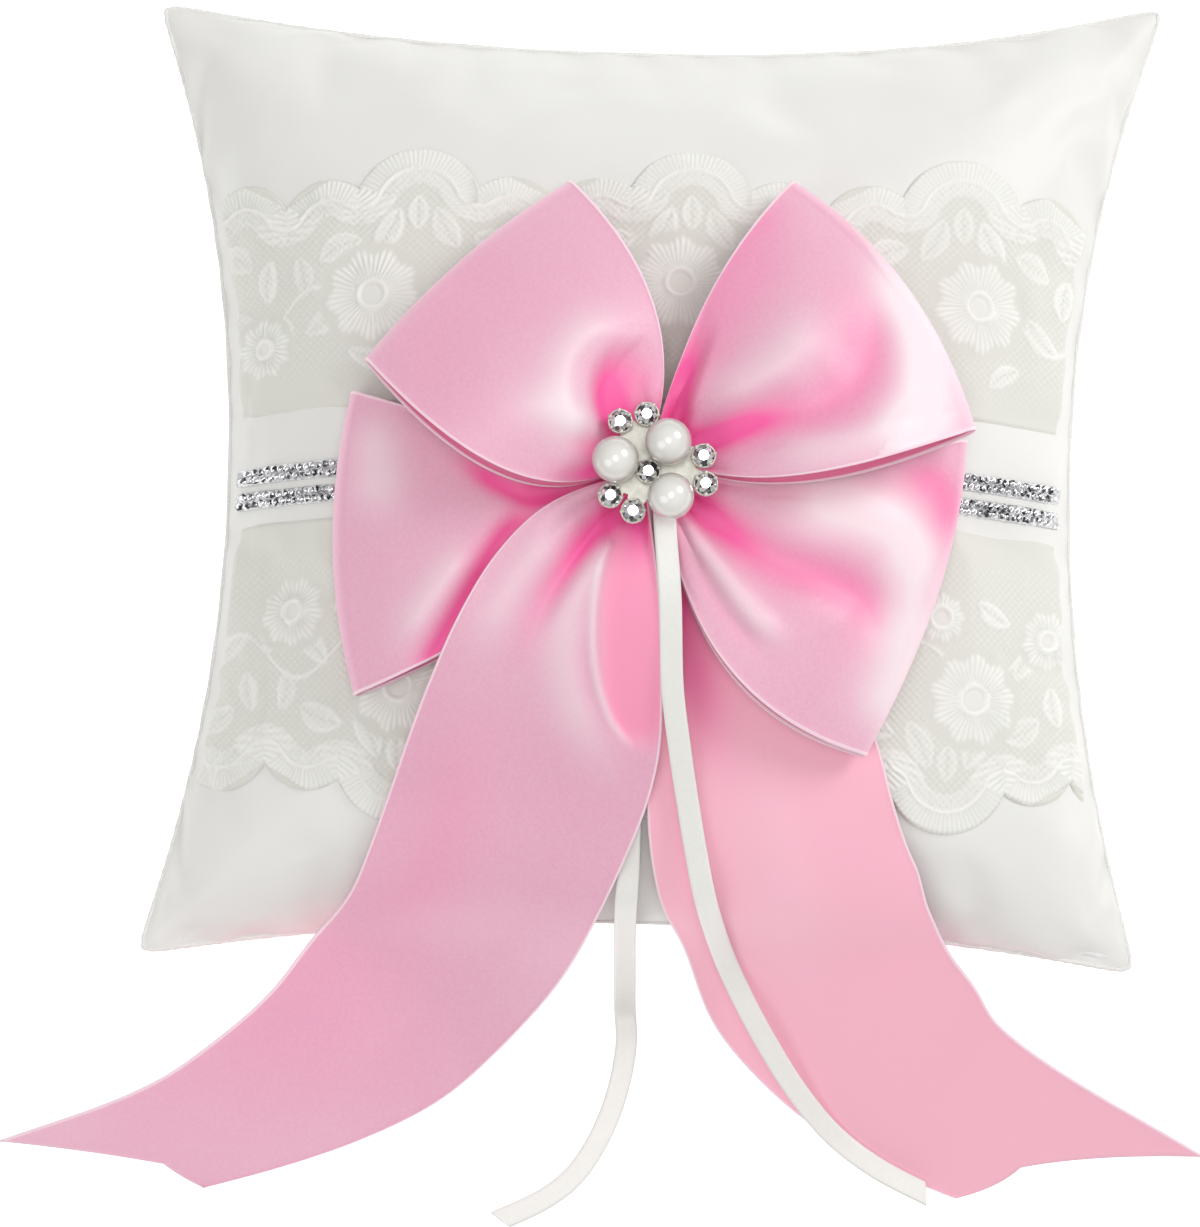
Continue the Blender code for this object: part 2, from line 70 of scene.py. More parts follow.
LOOPS = {
    "bow_loop_upper_left": {
        "gather": (95, 172), "side_a": ((9, 27), (-17, 55)), "side_b": ((-27, -18), (-56, 17)),
        "fold": (-39, 39), "leaf": (6.6, 4.0, 14.5), "gap": (3.4, 8.0, 6.0),
        "length": 0.145,
    },
    "bow_loop_upper_right": {
        "gather": (85, 8), "side_a": ((8, 34), (27, 56)), "side_b": ((29, -12), (63, 6)),
        "fold": (53, 38), "leaf": (6.6, 4.0, 15.5), "gap": (3.4, 9.0, 6.0),
        "length": 0.145,
    },
    "bow_loop_lower_left": {
        "gather": (176, 240), "side_a": ((-38, 5), (-59, 13)), "side_b": ((-25, -36), (-57, -47)),
        "fold": (-66, -17), "leaf": (2.2, 2.4, 2.4), "gap": (3.0, 4.5, 5.0),
        "length": 0.13,
    },
    "bow_loop_lower_right": {
        "gather": (4, -60), "side_a": ((40, 0), (62, 6)), "side_b": ((8, -50), (43, -57)),
        "fold": (61.5, -22), "leaf": (3.2, 3.6, 4.4), "gap": (2.4, 5.0, 4.0),
        "length": 0.135,
    },
}
TAILS = {
    "bow_tail_left": {
        "past_edge_from": 6, "length": 0.20, "notch": (0.66, 0.02),
        "stations": [
            ((-5.3, -4.9, 8.6), (-0.8, -8.6, 8.6)), ((-20, -11, 12.5), (0, -20, 12)),
            ((-30, -21, 13), (1, -33, 12)), ((-37, -33, 13.8), (2.5, -45, 9)),
            ((-42, -44, 11), (3, -56, 6)), ((-46, -54, 7), (1, -66, 4)),
            ((-50, 23, 46.5), (-2, 14, 45.5)), ((-54, 12, 39.5), (-8, 1, 36.5)),
            ((-58, 3, 33.5), (-16, -12, 15)), ((-65, -5, 31.5), (-27, -24, 3.5)),
            ((-73, -16, 31), (-39, -35, 1.2)), ((-84, -26, 31), (-54, -43, 1.2)),
            ((-97, -35, 28), (-70, -49, 1.2)), ((-127, -46, 18), (-87, -54, 1.2)),
        ],
    },
    "bow_tail_right": {
        "past_edge_from": 5, "length": 0.19, "notch": (0.38, 0.02),
        "stations": [
            ((2.2, -8.2, 1.6), (4.8, -6.6, 1.6)), ((2.2, -25, 1.6), (17, -19, 1.6)),
            ((1.8, -40, 1.6), (32, -30, 1.6)), ((0.8, -55, 1.6), (41, -44, 1.6)),
            ((0.6, -66, 1.6), (46, -55, 1.6)), ((1.5, 12.5, 43.5), (49, 23, 47)),
            ((4, 2.5, 35), (52.5, 14, 41)), ((9, -5, 21.5), (54.6, 10, 37.5)),
            ((15, -19, 8), (56.5, 4, 33.5)), ((26, -31, 1.8), (58.5, 0, 31.5)),
            ((36, -39, 1.2), (62, -6, 29.5)), ((47, -45.5, 1.2), (67, -12, 28)),
            ((57, -50, 1.2), (72, -20, 26)), ((65, -53, 1.2), (114, -44, 14)),
        ],
    },
}
RING_RIBBON_WIDTH, RING_RIBBON_THICKNESS = 4.4 * MM, 0.5 * MM
RING_RIBBONS = {
    "ring_ribbon_right": [
        (2.5, -8.6, 9.5), (3, -16, 11.5), (4.2, -29, 11.5), (5, -45, 9.0), (7, -58, 6.4),
        (8.5, -66, 5.0), (10.5, -76, 6.2), (13, -86, 9.4), (17.5, -96, 21.5),
        (24, -108, 14.8), (32, -120, 8.0), (40, -129, 4.2), (49, -135.5, 3.0),
        (59, -140.5, 2.8),
    ],
    "ring_ribbon_left": [
        (-1.4, -9.2, 1.8), (-2.2, -18, 1.8), (-2.8, -34, 1.8), (-3.0, -52, 1.8),
        (-2.7, -66, 1.9), (-2.7, -78, 2.2), (-3, -86, 6.0), (-3, -92, 21.0), (-2.8, -97, 10.0),
        (-2.6, -104, 1.5), (-2.2, -112, 1.0), (-4, -122, 1.0), (-7.5, -131, 1.0),
        (-12, -138, 1.0), (-18, -143, 1.0), (-27, -147.5, 1.0),
    ],
}


# ---- small helpers


def fine(full):
    return full


def mix(a, b, share):
    return a + (b - a) * share


def smooth(low, high, x):
    t = np.clip((x - low) / (high - low), 0.0, 1.0)
    return t * t * (3 - 2 * t)


def bell(x, width):
    return np.exp(-((x / width) ** 2))


def half_width(v):
    return WAIST_X + (CORNER_X - WAIST_X) * np.abs(v) ** PULL_IN_POWER


def half_depth(u):
    return WAIST_Y + (CORNER_Y - WAIST_Y) * np.abs(u) ** PULL_IN_POWER


def crown(share):
    """Share of the full height, from the middle of a side of the cushion out to its seam."""
    return np.maximum(0.0, 1 - share * share) ** CROWN_POWER


def face_array(u, v):
    rise = CROWN_HEIGHT * crown(u) * crown(v)
    return np.stack([u * half_width(v), v * half_depth(u), SEAM_Z + SEAM_GAP / 2 + rise], -1)


def back_array(u, v):
    low = SEAM_Z - SEAM_GAP / 2 - BELLY_DEPTH * crown(u) * crown(v)
    return np.stack([u * half_width(v), v * half_depth(u), np.maximum(0.0, low)], -1)


def shares_at(x, y):
    u, v = np.zeros_like(x), np.zeros_like(y)
    for _ in range(30):
        u = np.clip(x / half_width(v), -1, 1)
        v = np.clip(y / half_depth(u), -1, 1)
    return u, v


def ground(x, y):
    """Height of the cushion's face, or of the floor outside its outline."""
    x, y = np.asarray(x, float), np.asarray(y, float)
    u, v = shares_at(x, y)
    inside = (np.abs(u) < 1) & (np.abs(v) < 1)
    return np.where(inside, face_array(u, v)[..., 2], 0.0)


def spread(share):
    return np.sin(np.pi / 2 * (2 * share - 1))


def unit(vectors):
    return vectors / np.maximum(np.linalg.norm(vectors, axis=-1, keepdims=True), 1e-12)


def run_along(line):
    """Distance from the start of a line of points to each of them."""
    return np.concatenate([[0], np.cumsum(np.linalg.norm(np.diff(line, axis=0), axis=1))])


def segment_at(share, last):
    """Number of the segment that a share of the way falls in, and how far along that one it is."""
    at = np.clip(share, 0, 1) * last
    i = np.minimum(at.astype(int), last - 1)
    return i, (at - i)[..., None]


def catmull(points, share):
    """Points on the smooth curve through the given ones, share from 0 to 1, as the CAD has it."""
    points = np.asarray(points, float)
    last = len(points) - 1
    i, f = segment_at(share, last)
    p0, p1 = points[np.maximum(i - 1, 0)], points[i]
    p2, p3 = points[i + 1], points[np.minimum(i + 2, last)]
    return 0.5 * (
        2 * p1 + (p2 - p0) * f + (2 * p0 - 5 * p1 + 4 * p2 - p3) * f**2
        + (3 * p1 - p0 - 3 * p2 + p3) * f**3
    )


def even_curve(points, share):
    """As catmull, but stations that lie close together don't make it swing out."""
    points = np.asarray(points, float)
    i, f = segment_at(share, len(points) - 1)
    ends = [2 * points[:1] - points[1:2], points, 2 * points[-1:] - points[-2:-1]]
    padded = np.concatenate(ends)
    knots = np.concatenate([[0], np.cumsum(np.linalg.norm(np.diff(padded, axis=0), axis=1) ** 0.5)])
    p, t = [padded[i + k] for k in range(4)], [knots[i + k][..., None] for k in range(4)]
    now = t[1] + f * (t[2] - t[1])

    def between(a, b, ta, tb):
        return a + (b - a) * (now - ta) / (tb - ta)

    a1, a2, a3 = (between(p[k], p[k + 1], t[k], t[k + 1]) for k in range(3))
    return between(between(a1, a2, t[0], t[2]), between(a2, a3, t[1], t[3]), t[1], t[2])


def rim_of(rows, columns):
    """Numbers of a grid's edge points, in order round it."""
    rim = [(i, 0) for i in range(rows)] + [(rows - 1, j) for j in range(1, columns)]
    rim += [(i, columns - 1) for i in range(rows - 2, -1, -1)]
    rim += [(0, j) for j in range(columns - 2, 0, -1)]
    return np.array([i * columns + j for i, j in rim])


def slab_faces(rows, columns):
    """Faces of a closed slab: an upper grid, a lower one after it, and the wall between them."""
    index, total = rim_of(rows, columns), rows * columns
    after = np.roll(index, -1)
    wall = np.stack([index, after, after + total, index + total], -1)[:, ::-1]
    return [grid_faces(rows, columns), grid_faces(rows, columns, total, flip=True), wall]


def grid_faces(rows, columns, offset=0, flip=False, wrap=False):
    """A grid's quads; with wrap, the last column joins the first."""
    i, j = np.meshgrid(
        np.arange(rows - 1), np.arange(columns if wrap else columns - 1), indexing="ij"
    )
    a = i * columns + j
    b = i * columns + (j + 1) % columns
    quads = np.stack([a, a + columns, b + columns, b], -1).reshape(-1, 4) + offset
    return quads[:, ::-1] if flip else quads


def place_mesh(name, mesh, material, smooth_faces=True):
    if smooth_faces:
        mesh.shade_smooth()
    mesh.materials.append(material)
    obj = bpy.data.objects.new(name, mesh)
    bpy.context.scene.collection.objects.link(obj)
    return obj


def mesh_object(name, points, faces, material, uv=None, smooth_faces=True):
    """An object from arrays: points n by 3, and a list of arrays of faces."""
    points = np.asarray(points, float).reshape(-1, 3)
    loops = np.concatenate([f.reshape(-1) for f in faces])
    sizes = np.concatenate([np.full(len(f), f.shape[1]) for f in faces])
    mesh = bpy.data.meshes.new(name)
    mesh.vertices.add(len(points))
    mesh.vertices.foreach_set("co", points.reshape(-1))
    mesh.loops.add(len(loops))
    mesh.loops.foreach_set("vertex_index", loops.astype(np.int32))
    mesh.polygons.add(len(sizes))
    mesh.polygons.foreach_set("loop_start", (np.cumsum(sizes) - sizes).astype(np.int32))
    mesh.polygons.foreach_set("loop_total", sizes.astype(np.int32))
    mesh.update(calc_edges=True)
    mesh.validate()
    if uv is not None:
        layer = mesh.uv_layers.new(name="cloth")
        flat = np.asarray(uv, float).reshape(-1, 2)[loops]
        layer.data.foreach_set("uv", flat.reshape(-1))
    return place_mesh(name, mesh, material, smooth_faces)


def set_attribute(obj, name, values, domain="POINT"):
    attribute = obj.data.attributes.new(name, "FLOAT", domain)
    attribute.data.foreach_set("value", np.asarray(values, float).reshape(-1))


def finish_piece(obj, node_names):
    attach(obj, "root")
    if node_names:
        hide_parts(*node_names)


# ---- materials


class Nodes:
    """A node material under construction."""

    def __init__(self, name):
        self.material = bpy.data.materials.new(name)
        self.material.use_nodes = True
        self.tree = self.material.node_tree
        self.shader = self.tree.nodes["Principled BSDF"]

    def set(self, **values):
        for key, value in values.items():
            self.shader.inputs[key.replace("_", " ")].default_value = value

    def add(self, kind, **settings):
        node = self.tree.nodes.new(kind)
        for key, value in settings.items():
            setattr(node, key, value)
        return node

    def link(self, a, b):
        self.tree.links.new(a, b)

    def feed(self, node, values):
        """Links or sets inputs, by their numbers."""
        for socket, value in values.items():
            if hasattr(value, "links"):
                self.link(value, node.inputs[socket])
            else:
                node.inputs[socket].default_value = value

    def colour(self, socket):
        self.link(socket, self.shader.inputs["Base Color"])

    def mapped(self, source, scale):
        mapping = self.add("ShaderNodeMapping")
        mapping.inputs["Scale"].default_value = scale
        self.link(source, mapping.inputs["Vector"])
        return mapping.outputs["Vector"]

    def noise(self, scale, detail=2.0, roughness=0.5, vector=None, stretch=(1, 1, 1)):
        if vector is None:
            vector = self.mapped(self.add("ShaderNodeTexCoord").outputs["Object"], stretch)
        node = self.add("ShaderNodeTexNoise")
        node.inputs["Scale"].default_value = scale
        node.inputs["Detail"].default_value = detail
        node.inputs["Roughness"].default_value = roughness
        self.link(vector, node.inputs["Vector"])
        return node.outputs["Fac"]

    def ramp(self, factor, *stops):
        node = self.add("ShaderNodeValToRGB")
        elements = node.color_ramp.elements
        while len(elements) < len(stops):
            elements.new(0.5)
        for element, (at, colour) in zip(elements, stops):
            element.position = at
            element.color = (*colour, 1.0)
        self.link(factor, node.inputs["Fac"])
        return node.outputs["Color"]

    def mix_colour(self, factor, a, b):
        node = self.add("ShaderNodeMix", data_type="RGBA")
        a, b = (c if hasattr(c, "links") else (*c, 1.0) for c in (a, b))
        self.feed(node, {0: factor, 6: a, 7: b})
        return node.outputs[2]

    def maths(self, operation, a, b=0.0, c=0.0):
        node = self.add("ShaderNodeMath", operation=operation)
        self.feed(node, {0: a, 1: b, 2: c})
        return node.outputs[0]

    def bump(self, height, strength, distance):
        node = self.add("ShaderNodeBump")
        node.inputs["Strength"].default_value = strength
        node.inputs["Distance"].default_value = distance
        self.link(height, node.inputs["Height"])
        self.link(node.outputs["Normal"], self.shader.inputs["Normal"])

    def attribute(self, name):
        return self.add("ShaderNodeAttribute", attribute_name=name).outputs["Fac"]


def grained(name, grain, low, high, bump, values, stretch=(1, 1, 1)):
    """A material whose colour and bump follow one noise. The stops are (place, colour)."""
    m = Nodes(name)
    m.set(**values)
    noise = m.noise(*grain, stretch=stretch)
    m.colour(m.ramp(noise, low, high))
    m.bump(noise, *bump)
    return m.material


def cushion_satin():
    m = Nodes("cushion_satin")
    m.set(Roughness=0.46, Sheen_Weight=0.12, Sheen_Roughness=0.4)
    threads = m.noise(1.0, 1.0, stretch=(900, 5200, 2600))
    broad = m.noise(28, 3)
    m.colour(m.ramp(broad, (0.3, (0.775, 0.767, 0.735)), (0.7, (0.81, 0.805, 0.78))))
    m.bump(threads, 0.25, 0.00004)
    return m.material


def lace_material():
    """Cotton lace: raised threads are ivory, and shade is painted into the ground between them, a
    little darker and more olive.
    """
    m = Nodes("cotton_lace")
    m.set(Roughness=0.85, Sheen_Weight=0.15, Sheen_Roughness=0.5)
    fibre = m.noise(2600, 2)
    uneven = m.maths("MULTIPLY", m.maths("SUBTRACT", fibre, 0.5), 0.25)
    m.colour(m.ramp(
        m.maths("ADD", m.attribute("relief_for_painted_shade"), uneven),
        (0.0, (0.71, 0.705, 0.65)), (0.25, (0.79, 0.785, 0.74)), (0.8, (0.86, 0.855, 0.815)),
    ))
    m.bump(fibre, 0.5, 0.00006)
    return m.material


def ribbon_satin(name, width, edge, deep, light, selvedge, roughness):
    """Satin ribbon: long floats across its width and a tight light selvedge along both edges. Shade is
    painted into its folds as deep pink, highlights are painted whitish on its ridges, and its reverse
    is matt."""
    m = Nodes(name)
    m.set(Sheen_Weight=0.4, Sheen_Roughness=0.5, Specular_IOR_Level=0.7)
    m.set(Coat_Weight=0.2, Coat_Roughness=0.42, Coat_IOR=1.6, Sheen_Tint=(1.0, 0.93, 0.95, 1.0))
    uv = m.add("ShaderNodeUVMap", uv_map="cloth").outputs["UV"]
    split = m.add("ShaderNodeSeparateXYZ")
    m.link(uv, split.inputs[0])
    threads = m.noise(1.0, 1.0, vector=m.mapped(uv, (900, 5200, 1)))
    glint = m.maths("MULTIPLY_ADD", m.noise(1500, 1), 0.7, m.maths("MULTIPLY", threads, 0.2))
    tone = m.maths("MULTIPLY_ADD", m.noise(40, 2), 0.4, m.maths("SUBTRACT", glint, 0.15))
    body = m.mix_colour(tone, deep, light)
    # Mixed over the body colour: the reverse face's own colour, painted shade in folds as deep pink,
    # and painted highlights as whitish pink.
    for mark, tint in (("reverse", REVERSE), ("painted_shade", PAINTED_SHADE_PINK), ("painted_highlight", PAINTED_HIGHLIGHT_PINK)):
        body = m.mix_colour(m.attribute(mark), body, tint)
    from_middle = m.maths("ABSOLUTE", m.maths("SUBTRACT", split.outputs["X"], 0.5 * width))
    at_edge = m.maths("GREATER_THAN", from_middle, 0.5 * width - edge)
    m.colour(m.mix_colour(at_edge, body, selvedge))
    matt = m.maths("MULTIPLY_ADD", m.attribute("reverse"), 0.3, roughness)
    m.link(matt, m.shader.inputs["Roughness"])
    m.bump(threads, 0.22, 0.00005)
    return m.material


def stone_material(name, values, tint, *stops):
    """Foiled glass: each flat face gets a random tone from a per-face attribute, a painted reflection,
    dark or bright, in place of what it mirrors.
    """
    m = Nodes(name)
    m.set(**values)
    tone = m.maths("MULTIPLY_ADD", m.noise(900, 0), tint, m.attribute("painted_reflection"))
    m.colour(m.ramp(tone, *stops))
    return m


def trim_material():
    m = stone_material(
        "silver_rhinestone", {"Roughness": 0.12, "Metallic": 0.9}, 0.0,
        (0.0, (0.02, 0.02, 0.022)), (0.22, (0.10, 0.10, 0.11)), (0.45, (0.55, 0.56, 0.58)),
        (0.75, (0.95, 0.95, 0.96)),
    )
    m.bump(m.noise(900, 1), 0.1, 0.0001)
    return m.material


def crystal_material():
    return stone_material(
        "foiled_crystal",
        {"Roughness": 0.03, "Metallic": 0.85, "Coat_Weight": 1.0, "Coat_Roughness": 0.0}, 0.15,
        (0.05, (0.015, 0.015, 0.018)), (0.32, (0.12, 0.12, 0.13)), (0.55, (0.62, 0.63, 0.66)),
        (0.8, (0.96, 0.97, 0.98)),
    ).material


def pearl_material():
    m = Nodes("imitation_pearl")
    m.set(Roughness=0.3, Specular_IOR_Level=0.7)
    m.set(Coat_Weight=1.0, Coat_Roughness=0.05, Coat_IOR=1.7)
    # Painted shading by facing: brightest where the pearl faces the viewer, darker towards its rim and
    # a little lighter at the very edge, standing in for its highlight and reflections.
    layer = m.add("ShaderNodeLayerWeight")
    layer.inputs["Blend"].default_value = 0.45
    body = m.ramp(
        layer.outputs["Facing"],
        (0.0, (0.84, 0.83, 0.79)), (0.22, (0.72, 0.71, 0.66)), (0.6, (0.46, 0.45, 0.40)),
        (1.0, (0.68, 0.67, 0.62)),
    )
    cloud = m.maths("MULTIPLY", m.noise(260, 2), 0.18)
    m.colour(m.mix_colour(cloud, body, (0.80, 0.76, 0.74)))
    return m.material


# Deep pink for shade painted into folds and hollows, whitish pink for highlights painted on ridges, and
# the matt reverse face's own colour.
PAINTED_SHADE_PINK, PAINTED_HIGHLIGHT_PINK, REVERSE = (0.97, 0.09, 0.37), (0.90, 0.74, 0.79), (0.97, 0.48, 0.60)
PINK_SATIN = ribbon_satin(
    "pink_satin_ribbon", RIBBON_WIDTH, 0.5 * MM, deep=(0.78, 0.33, 0.48), light=(0.84, 0.49, 0.61),
    selvedge=(0.92, 0.66, 0.75), roughness=0.5,
)
IVORY_SATIN = ribbon_satin(
    "ivory_satin_ribbon", RING_RIBBON_WIDTH, 0.3 * MM, deep=(0.78, 0.775, 0.73),
    light=(0.86, 0.855, 0.82), selvedge=(0.84, 0.835, 0.80), roughness=0.4,
)
CUSHION_SATIN, LACE, PEARL = cushion_satin(), lace_material(), pearl_material()
TRIM_STONE, CRYSTAL = trim_material(), crystal_material()
TRIM_TAPE = grained(
    "silver_mesh_tape", (1400, 2), (0.35, (0.42, 0.42, 0.43)), (0.65, (0.80, 0.80, 0.81)),
    (0.6, 0.0002), {"Roughness": 0.3, "Metallic": 0.8},
)
METAL = grained(
    "pale_cast_metal", (700, 3), (0.3, (0.58, 0.57, 0.50)), (0.7, (0.74, 0.73, 0.67)),
    (0.25, 0.0001), {"Roughness": 0.42, "Metallic": 0.6},
)
FIBRE = grained(
    "polyester_wadding", (420, 5, 0.65), (0.3, (0.78, 0.78, 0.77)), (0.7, (0.93, 0.93, 0.92)),
    (0.8, 0.0008), {"Roughness": 0.95, "Sheen_Weight": 0.4}, stretch=(1, 1, 2),
)
THREAD = grained(
    "seam_thread", (1800, 1), (0.3, (0.76, 0.75, 0.72)), (0.7, (0.85, 0.84, 0.81)),
    (0.4, 0.0001), {"Roughness": 0.7, "Sheen_Weight": 0.2},
)


# ---- camera, floor and light


LENS, CAMERA_DISTANCE = 175.2, 1.2
CAMERA_ELEVATION, CAMERA_ROLL = math.radians(83), math.radians(1.2)
CAMERA_AIM = Vector((-9.33, -26.30, 24)) * MM
FLOOR_HALF = 4.0


def make_camera():
    data = bpy.data.cameras.new("camera")
    data.sensor_width, data.lens = 36, LENS
    data.clip_start, data.clip_end = 0.05, 10
    camera = bpy.data.objects.new("camera", data)
    elevation, roll = CAMERA_ELEVATION, CAMERA_ROLL
    forward = Vector((0, math.cos(elevation), -math.sin(elevation)))
    level, rise = Vector((1, 0, 0)), Vector((0, math.sin(elevation), math.cos(elevation)))
    right = level * math.cos(roll) + rise * math.sin(roll)
    up = rise * math.cos(roll) - level * math.sin(roll)
    turn = Matrix((right, up, -forward)).transposed().to_4x4()
    camera.matrix_world = Matrix.Translation(CAMERA_AIM - forward * CAMERA_DISTANCE) @ turn
    bpy.context.scene.collection.objects.link(camera)
    bpy.context.scene.camera = camera


def area_light(name, place, aim, size, power):
    data = bpy.data.lights.new(name, "AREA")
    data.shape, data.size, data.energy = "DISK", size, power
    light = bpy.data.objects.new(name, data)
    light.location = place
    light.rotation_euler = (Vector(aim) - Vector(place)).to_track_quat("-Z", "Y").to_euler()
    bpy.context.scene.collection.objects.link(light)


def make_stage():
    floor_paint = Nodes("pale_floor")
    floor_paint.set(Roughness=0.9, Emission_Strength=0.55)
    floor_paint.set(Emission_Color=(1, 1, 1, 1), Base_Color=(0.9, 0.9, 0.9, 1))
    corners = [(x * FLOOR_HALF, y * FLOOR_HALF, 0) for x, y in ((-1, -1), (1, -1), (1, 1), (-1, 1))]
    mesh_object("floor", corners, [np.array([[0, 1, 2, 3]])], floor_paint.material)
    world = bpy.data.worlds.new("studio")
    bpy.context.scene.world = world
    world.use_nodes = True
    background = world.node_tree.nodes["Background"].inputs
    background["Color"].default_value = (1.0, 1.0, 1.0, 1.0)
    background["Strength"].default_value = 0.49
    area_light("key", (0.75, 0.45, 0.75), (0, -0.01, 0.04), 0.55, 5.0)
    area_light("fill", (-0.7, -0.5, 0.9), (0, 0, 0.04), 0.8, 2.4)
    area_light("overhead", (0, -0.1, 1.6), (0, -0.02, 0.04), 0.7, 5.2)
    bpy.context.scene.view_settings.view_transform = "Standard"


# ---- ring ribbons (the cords)


ROUTE_STEPS, CORD_SIDE = 300, 9
END_SLANT = 1.2 * MM  # how far each corner of a cut end stands from its middle


def ribbon_sweep(centres, width, thickness):
    """A flat strip round a path, level across it, with raised edges on its upper side."""
    tangent = unit(np.gradient(centres, axis=0))
    across = unit(np.cross(tangent, (0, 0, 1.0)))
    normal = np.cross(across, tangent)
    section, uv = [], []
    w, h = width / 2, thickness / 2
    for side, raised, narrow in ((1, 0.12, 1.0), (-1, 0.0, 0.995)):
        for x in np.linspace(-side, side, CORD_SIDE):
            edge = 1 - 0.35 * smooth(0.86, 1.0, abs(x)) + raised * bell(abs(x) - 0.84, 0.06)
            section.append((x * w * narrow, side * h * edge))
            uv.append((x + 1) * w)
    section = np.array(section)
    rings = (
        centres[:, None, :] + across[:, None, :] * section[None, :, 0:1]
        + normal[:, None, :] * section[None, :, 1:2]
    )
    return rings, np.stack(np.broadcast_arrays(np.array(uv)[None, :], run_along(centres)[:, None]), -1)


def make_ring_ribbons():
    for name, points in RING_RIBBONS.items():
        route = np.array(points, float) * MM
        route[:, 2] += ground(route[:, 0], route[:, 1])
        share = np.linspace(0, 1, ROUTE_STEPS)
        centres = catmull(route, share)
        rings, uv = ribbon_sweep(centres, RING_RIBBON_WIDTH, RING_RIBBON_THICKNESS)
        slant = np.linspace(-END_SLANT, END_SLANT, CORD_SIDE)
        slant = np.concatenate([slant, slant[::-1]])[None, :, None]
        tangent = unit(np.gradient(centres, axis=0))
        rings = rings + tangent[:, None, :] * slant * smooth(0.97, 1.0, share)[:, None, None]
        rows, columns = rings.shape[:2]
        start = np.array(
            [[k, k + 1, columns - 2 - k, columns - 1 - k] for k in range(columns // 2 - 1)]
        )
        end = start[:, ::-1] + (rows - 1) * columns
        faces = [grid_faces(rows, columns, wrap=True), start, end]
        obj = mesh_object(name + "_satin", rings, faces, IVORY_SATIN, uv)
        finish_piece(obj, [name])


# ---- the cushion

FACE_STEPS = 72
SLACK = 0.8 * MM  # how far the face starts under the CAD's, before it's stuffed
CORNER_CUT, CORNER_POWER = 0.014, 42
TURNED_CORNERS = (
    (-1, 1, (-0.4, 0.8)), (1, 1, (2.0, 4.2)), (-1, -1, (0.6, -0.6)), (1, -1, (-2.0, -0.6)),
)
MOST_MOVE = 2.2 * MM  # how far the cloth may settle from the cushion's drawn shape
RESTING = 0.4 * MM  # what is lower lies on the floor
THREAD_RADIUS, THREAD_TWIST = 0.42 * MM, 2.2 * MM


def with_turned_corners(points, u, v):
    """The corners are turned out round, and none of the four is quite like the others."""
    points[..., :2] *= 1 - CORNER_CUT * (np.abs(u * v) ** CORNER_POWER)[..., None]
    for side_u, side_v, shift in TURNED_CORNERS:
        near = (np.maximum(side_u * u, 0) * np.maximum(side_v * v, 0)) ** 3
        points[..., :2] += near[..., None] * np.array(shift) * MM
    return points


def cushion_shape():
    """Both sides of the cushion as grids of points, a little slack, welded along the seam."""
    share = np.linspace(0, 1, FACE_STEPS + 1)
    u, v = np.meshgrid(spread(share), spread(share), indexing="ij")
    front = with_turned_corners(face_array(u, v), u, v)
    back = with_turned_corners(back_array(u, v), u, v)
    edge = np.maximum(np.abs(u), np.abs(v))
    rise = smooth(1.0, 0.90, edge)
    front[..., 2] -= (SEAM_GAP / 2) * (1 - rise) + SLACK * rise
    back[..., 2] += (SEAM_GAP / 2) * (1 - rise)
    return front, back


def simulate(obj, held, frames=18):
    """The points of the object after its cloth is blown up and has settled."""
    group = obj.vertex_groups.new(name="held")
    group.add([int(k) for k in np.flatnonzero(held)], 1.0, "REPLACE")
    cloth = obj.modifiers.new("cloth", "CLOTH")
    s = cloth.settings
    s.quality, s.mass = 6, 0.15
    s.tension_stiffness = s.compression_stiffness = 12
    s.shear_stiffness, s.bending_stiffness = 4, 0.35
    s.tension_damping = s.compression_damping = 10
    s.use_pressure, s.uniform_pressure_force = True, 3.0
    s.shrink_min = s.shrink_max = -0.012
    s.vertex_group_mass = "held"
    s.effector_weights.gravity = 0
    cloth.collision_settings.use_collision = False
    cloth.point_cache.frame_start, cloth.point_cache.frame_end = 1, frames
    scene = bpy.context.scene
    for frame_number in range(1, frames + 1):
        scene.frame_set(frame_number)
    evaluated = obj.evaluated_get(bpy.context.evaluated_depsgraph_get())
    mesh = evaluated.to_mesh()
    out = np.empty(len(mesh.vertices) * 3)
    mesh.vertices.foreach_get("co", out)
    evaluated.to_mesh_clear()
    obj.modifiers.remove(cloth)
    scene.frame_set(1)
    return out.reshape(-1, 3)


class Surface:
    """The cushion's finished face, read between its grid points."""

    def __init__(self, points):
        self.points = points
        self.count = points.shape[0] - 1

    def at(self, u, v):
        a, b = ((np.arcsin(np.clip(w, -1, 1)) * 2 / np.pi + 1) / 2 * self.count for w in (u, v))
        i, j = (np.clip(w.astype(int), 0, self.count - 1) for w in (a, b))

        def weights(f):
            return (
                0.5 * (-f + 2 * f**2 - f**3), 0.5 * (2 - 5 * f**2 + 3 * f**3),
                0.5 * (f + 4 * f**2 - 3 * f**3), 0.5 * (-(f**2) + f**3),
            )

        total = 0.0
        for di, wi in zip((-1, 0, 1, 2), weights(a - i)):
            for dj, wj in zip((-1, 0, 1, 2), weights(b - j)):
                ii, jj = np.clip(i + di, 0, self.count), np.clip(j + dj, 0, self.count)
                total = total + self.points[ii, jj] * (wi * wj)[..., None]
        return total

    def lifted(self, u, v, lift, step=0.004):
        along = self.at(u + step, v) - self.at(u - step, v)
        across = self.at(u, v + step) - self.at(u, v - step)
        return self.at(u, v) + unit(np.cross(along, across)) * np.asarray(lift)[..., None]


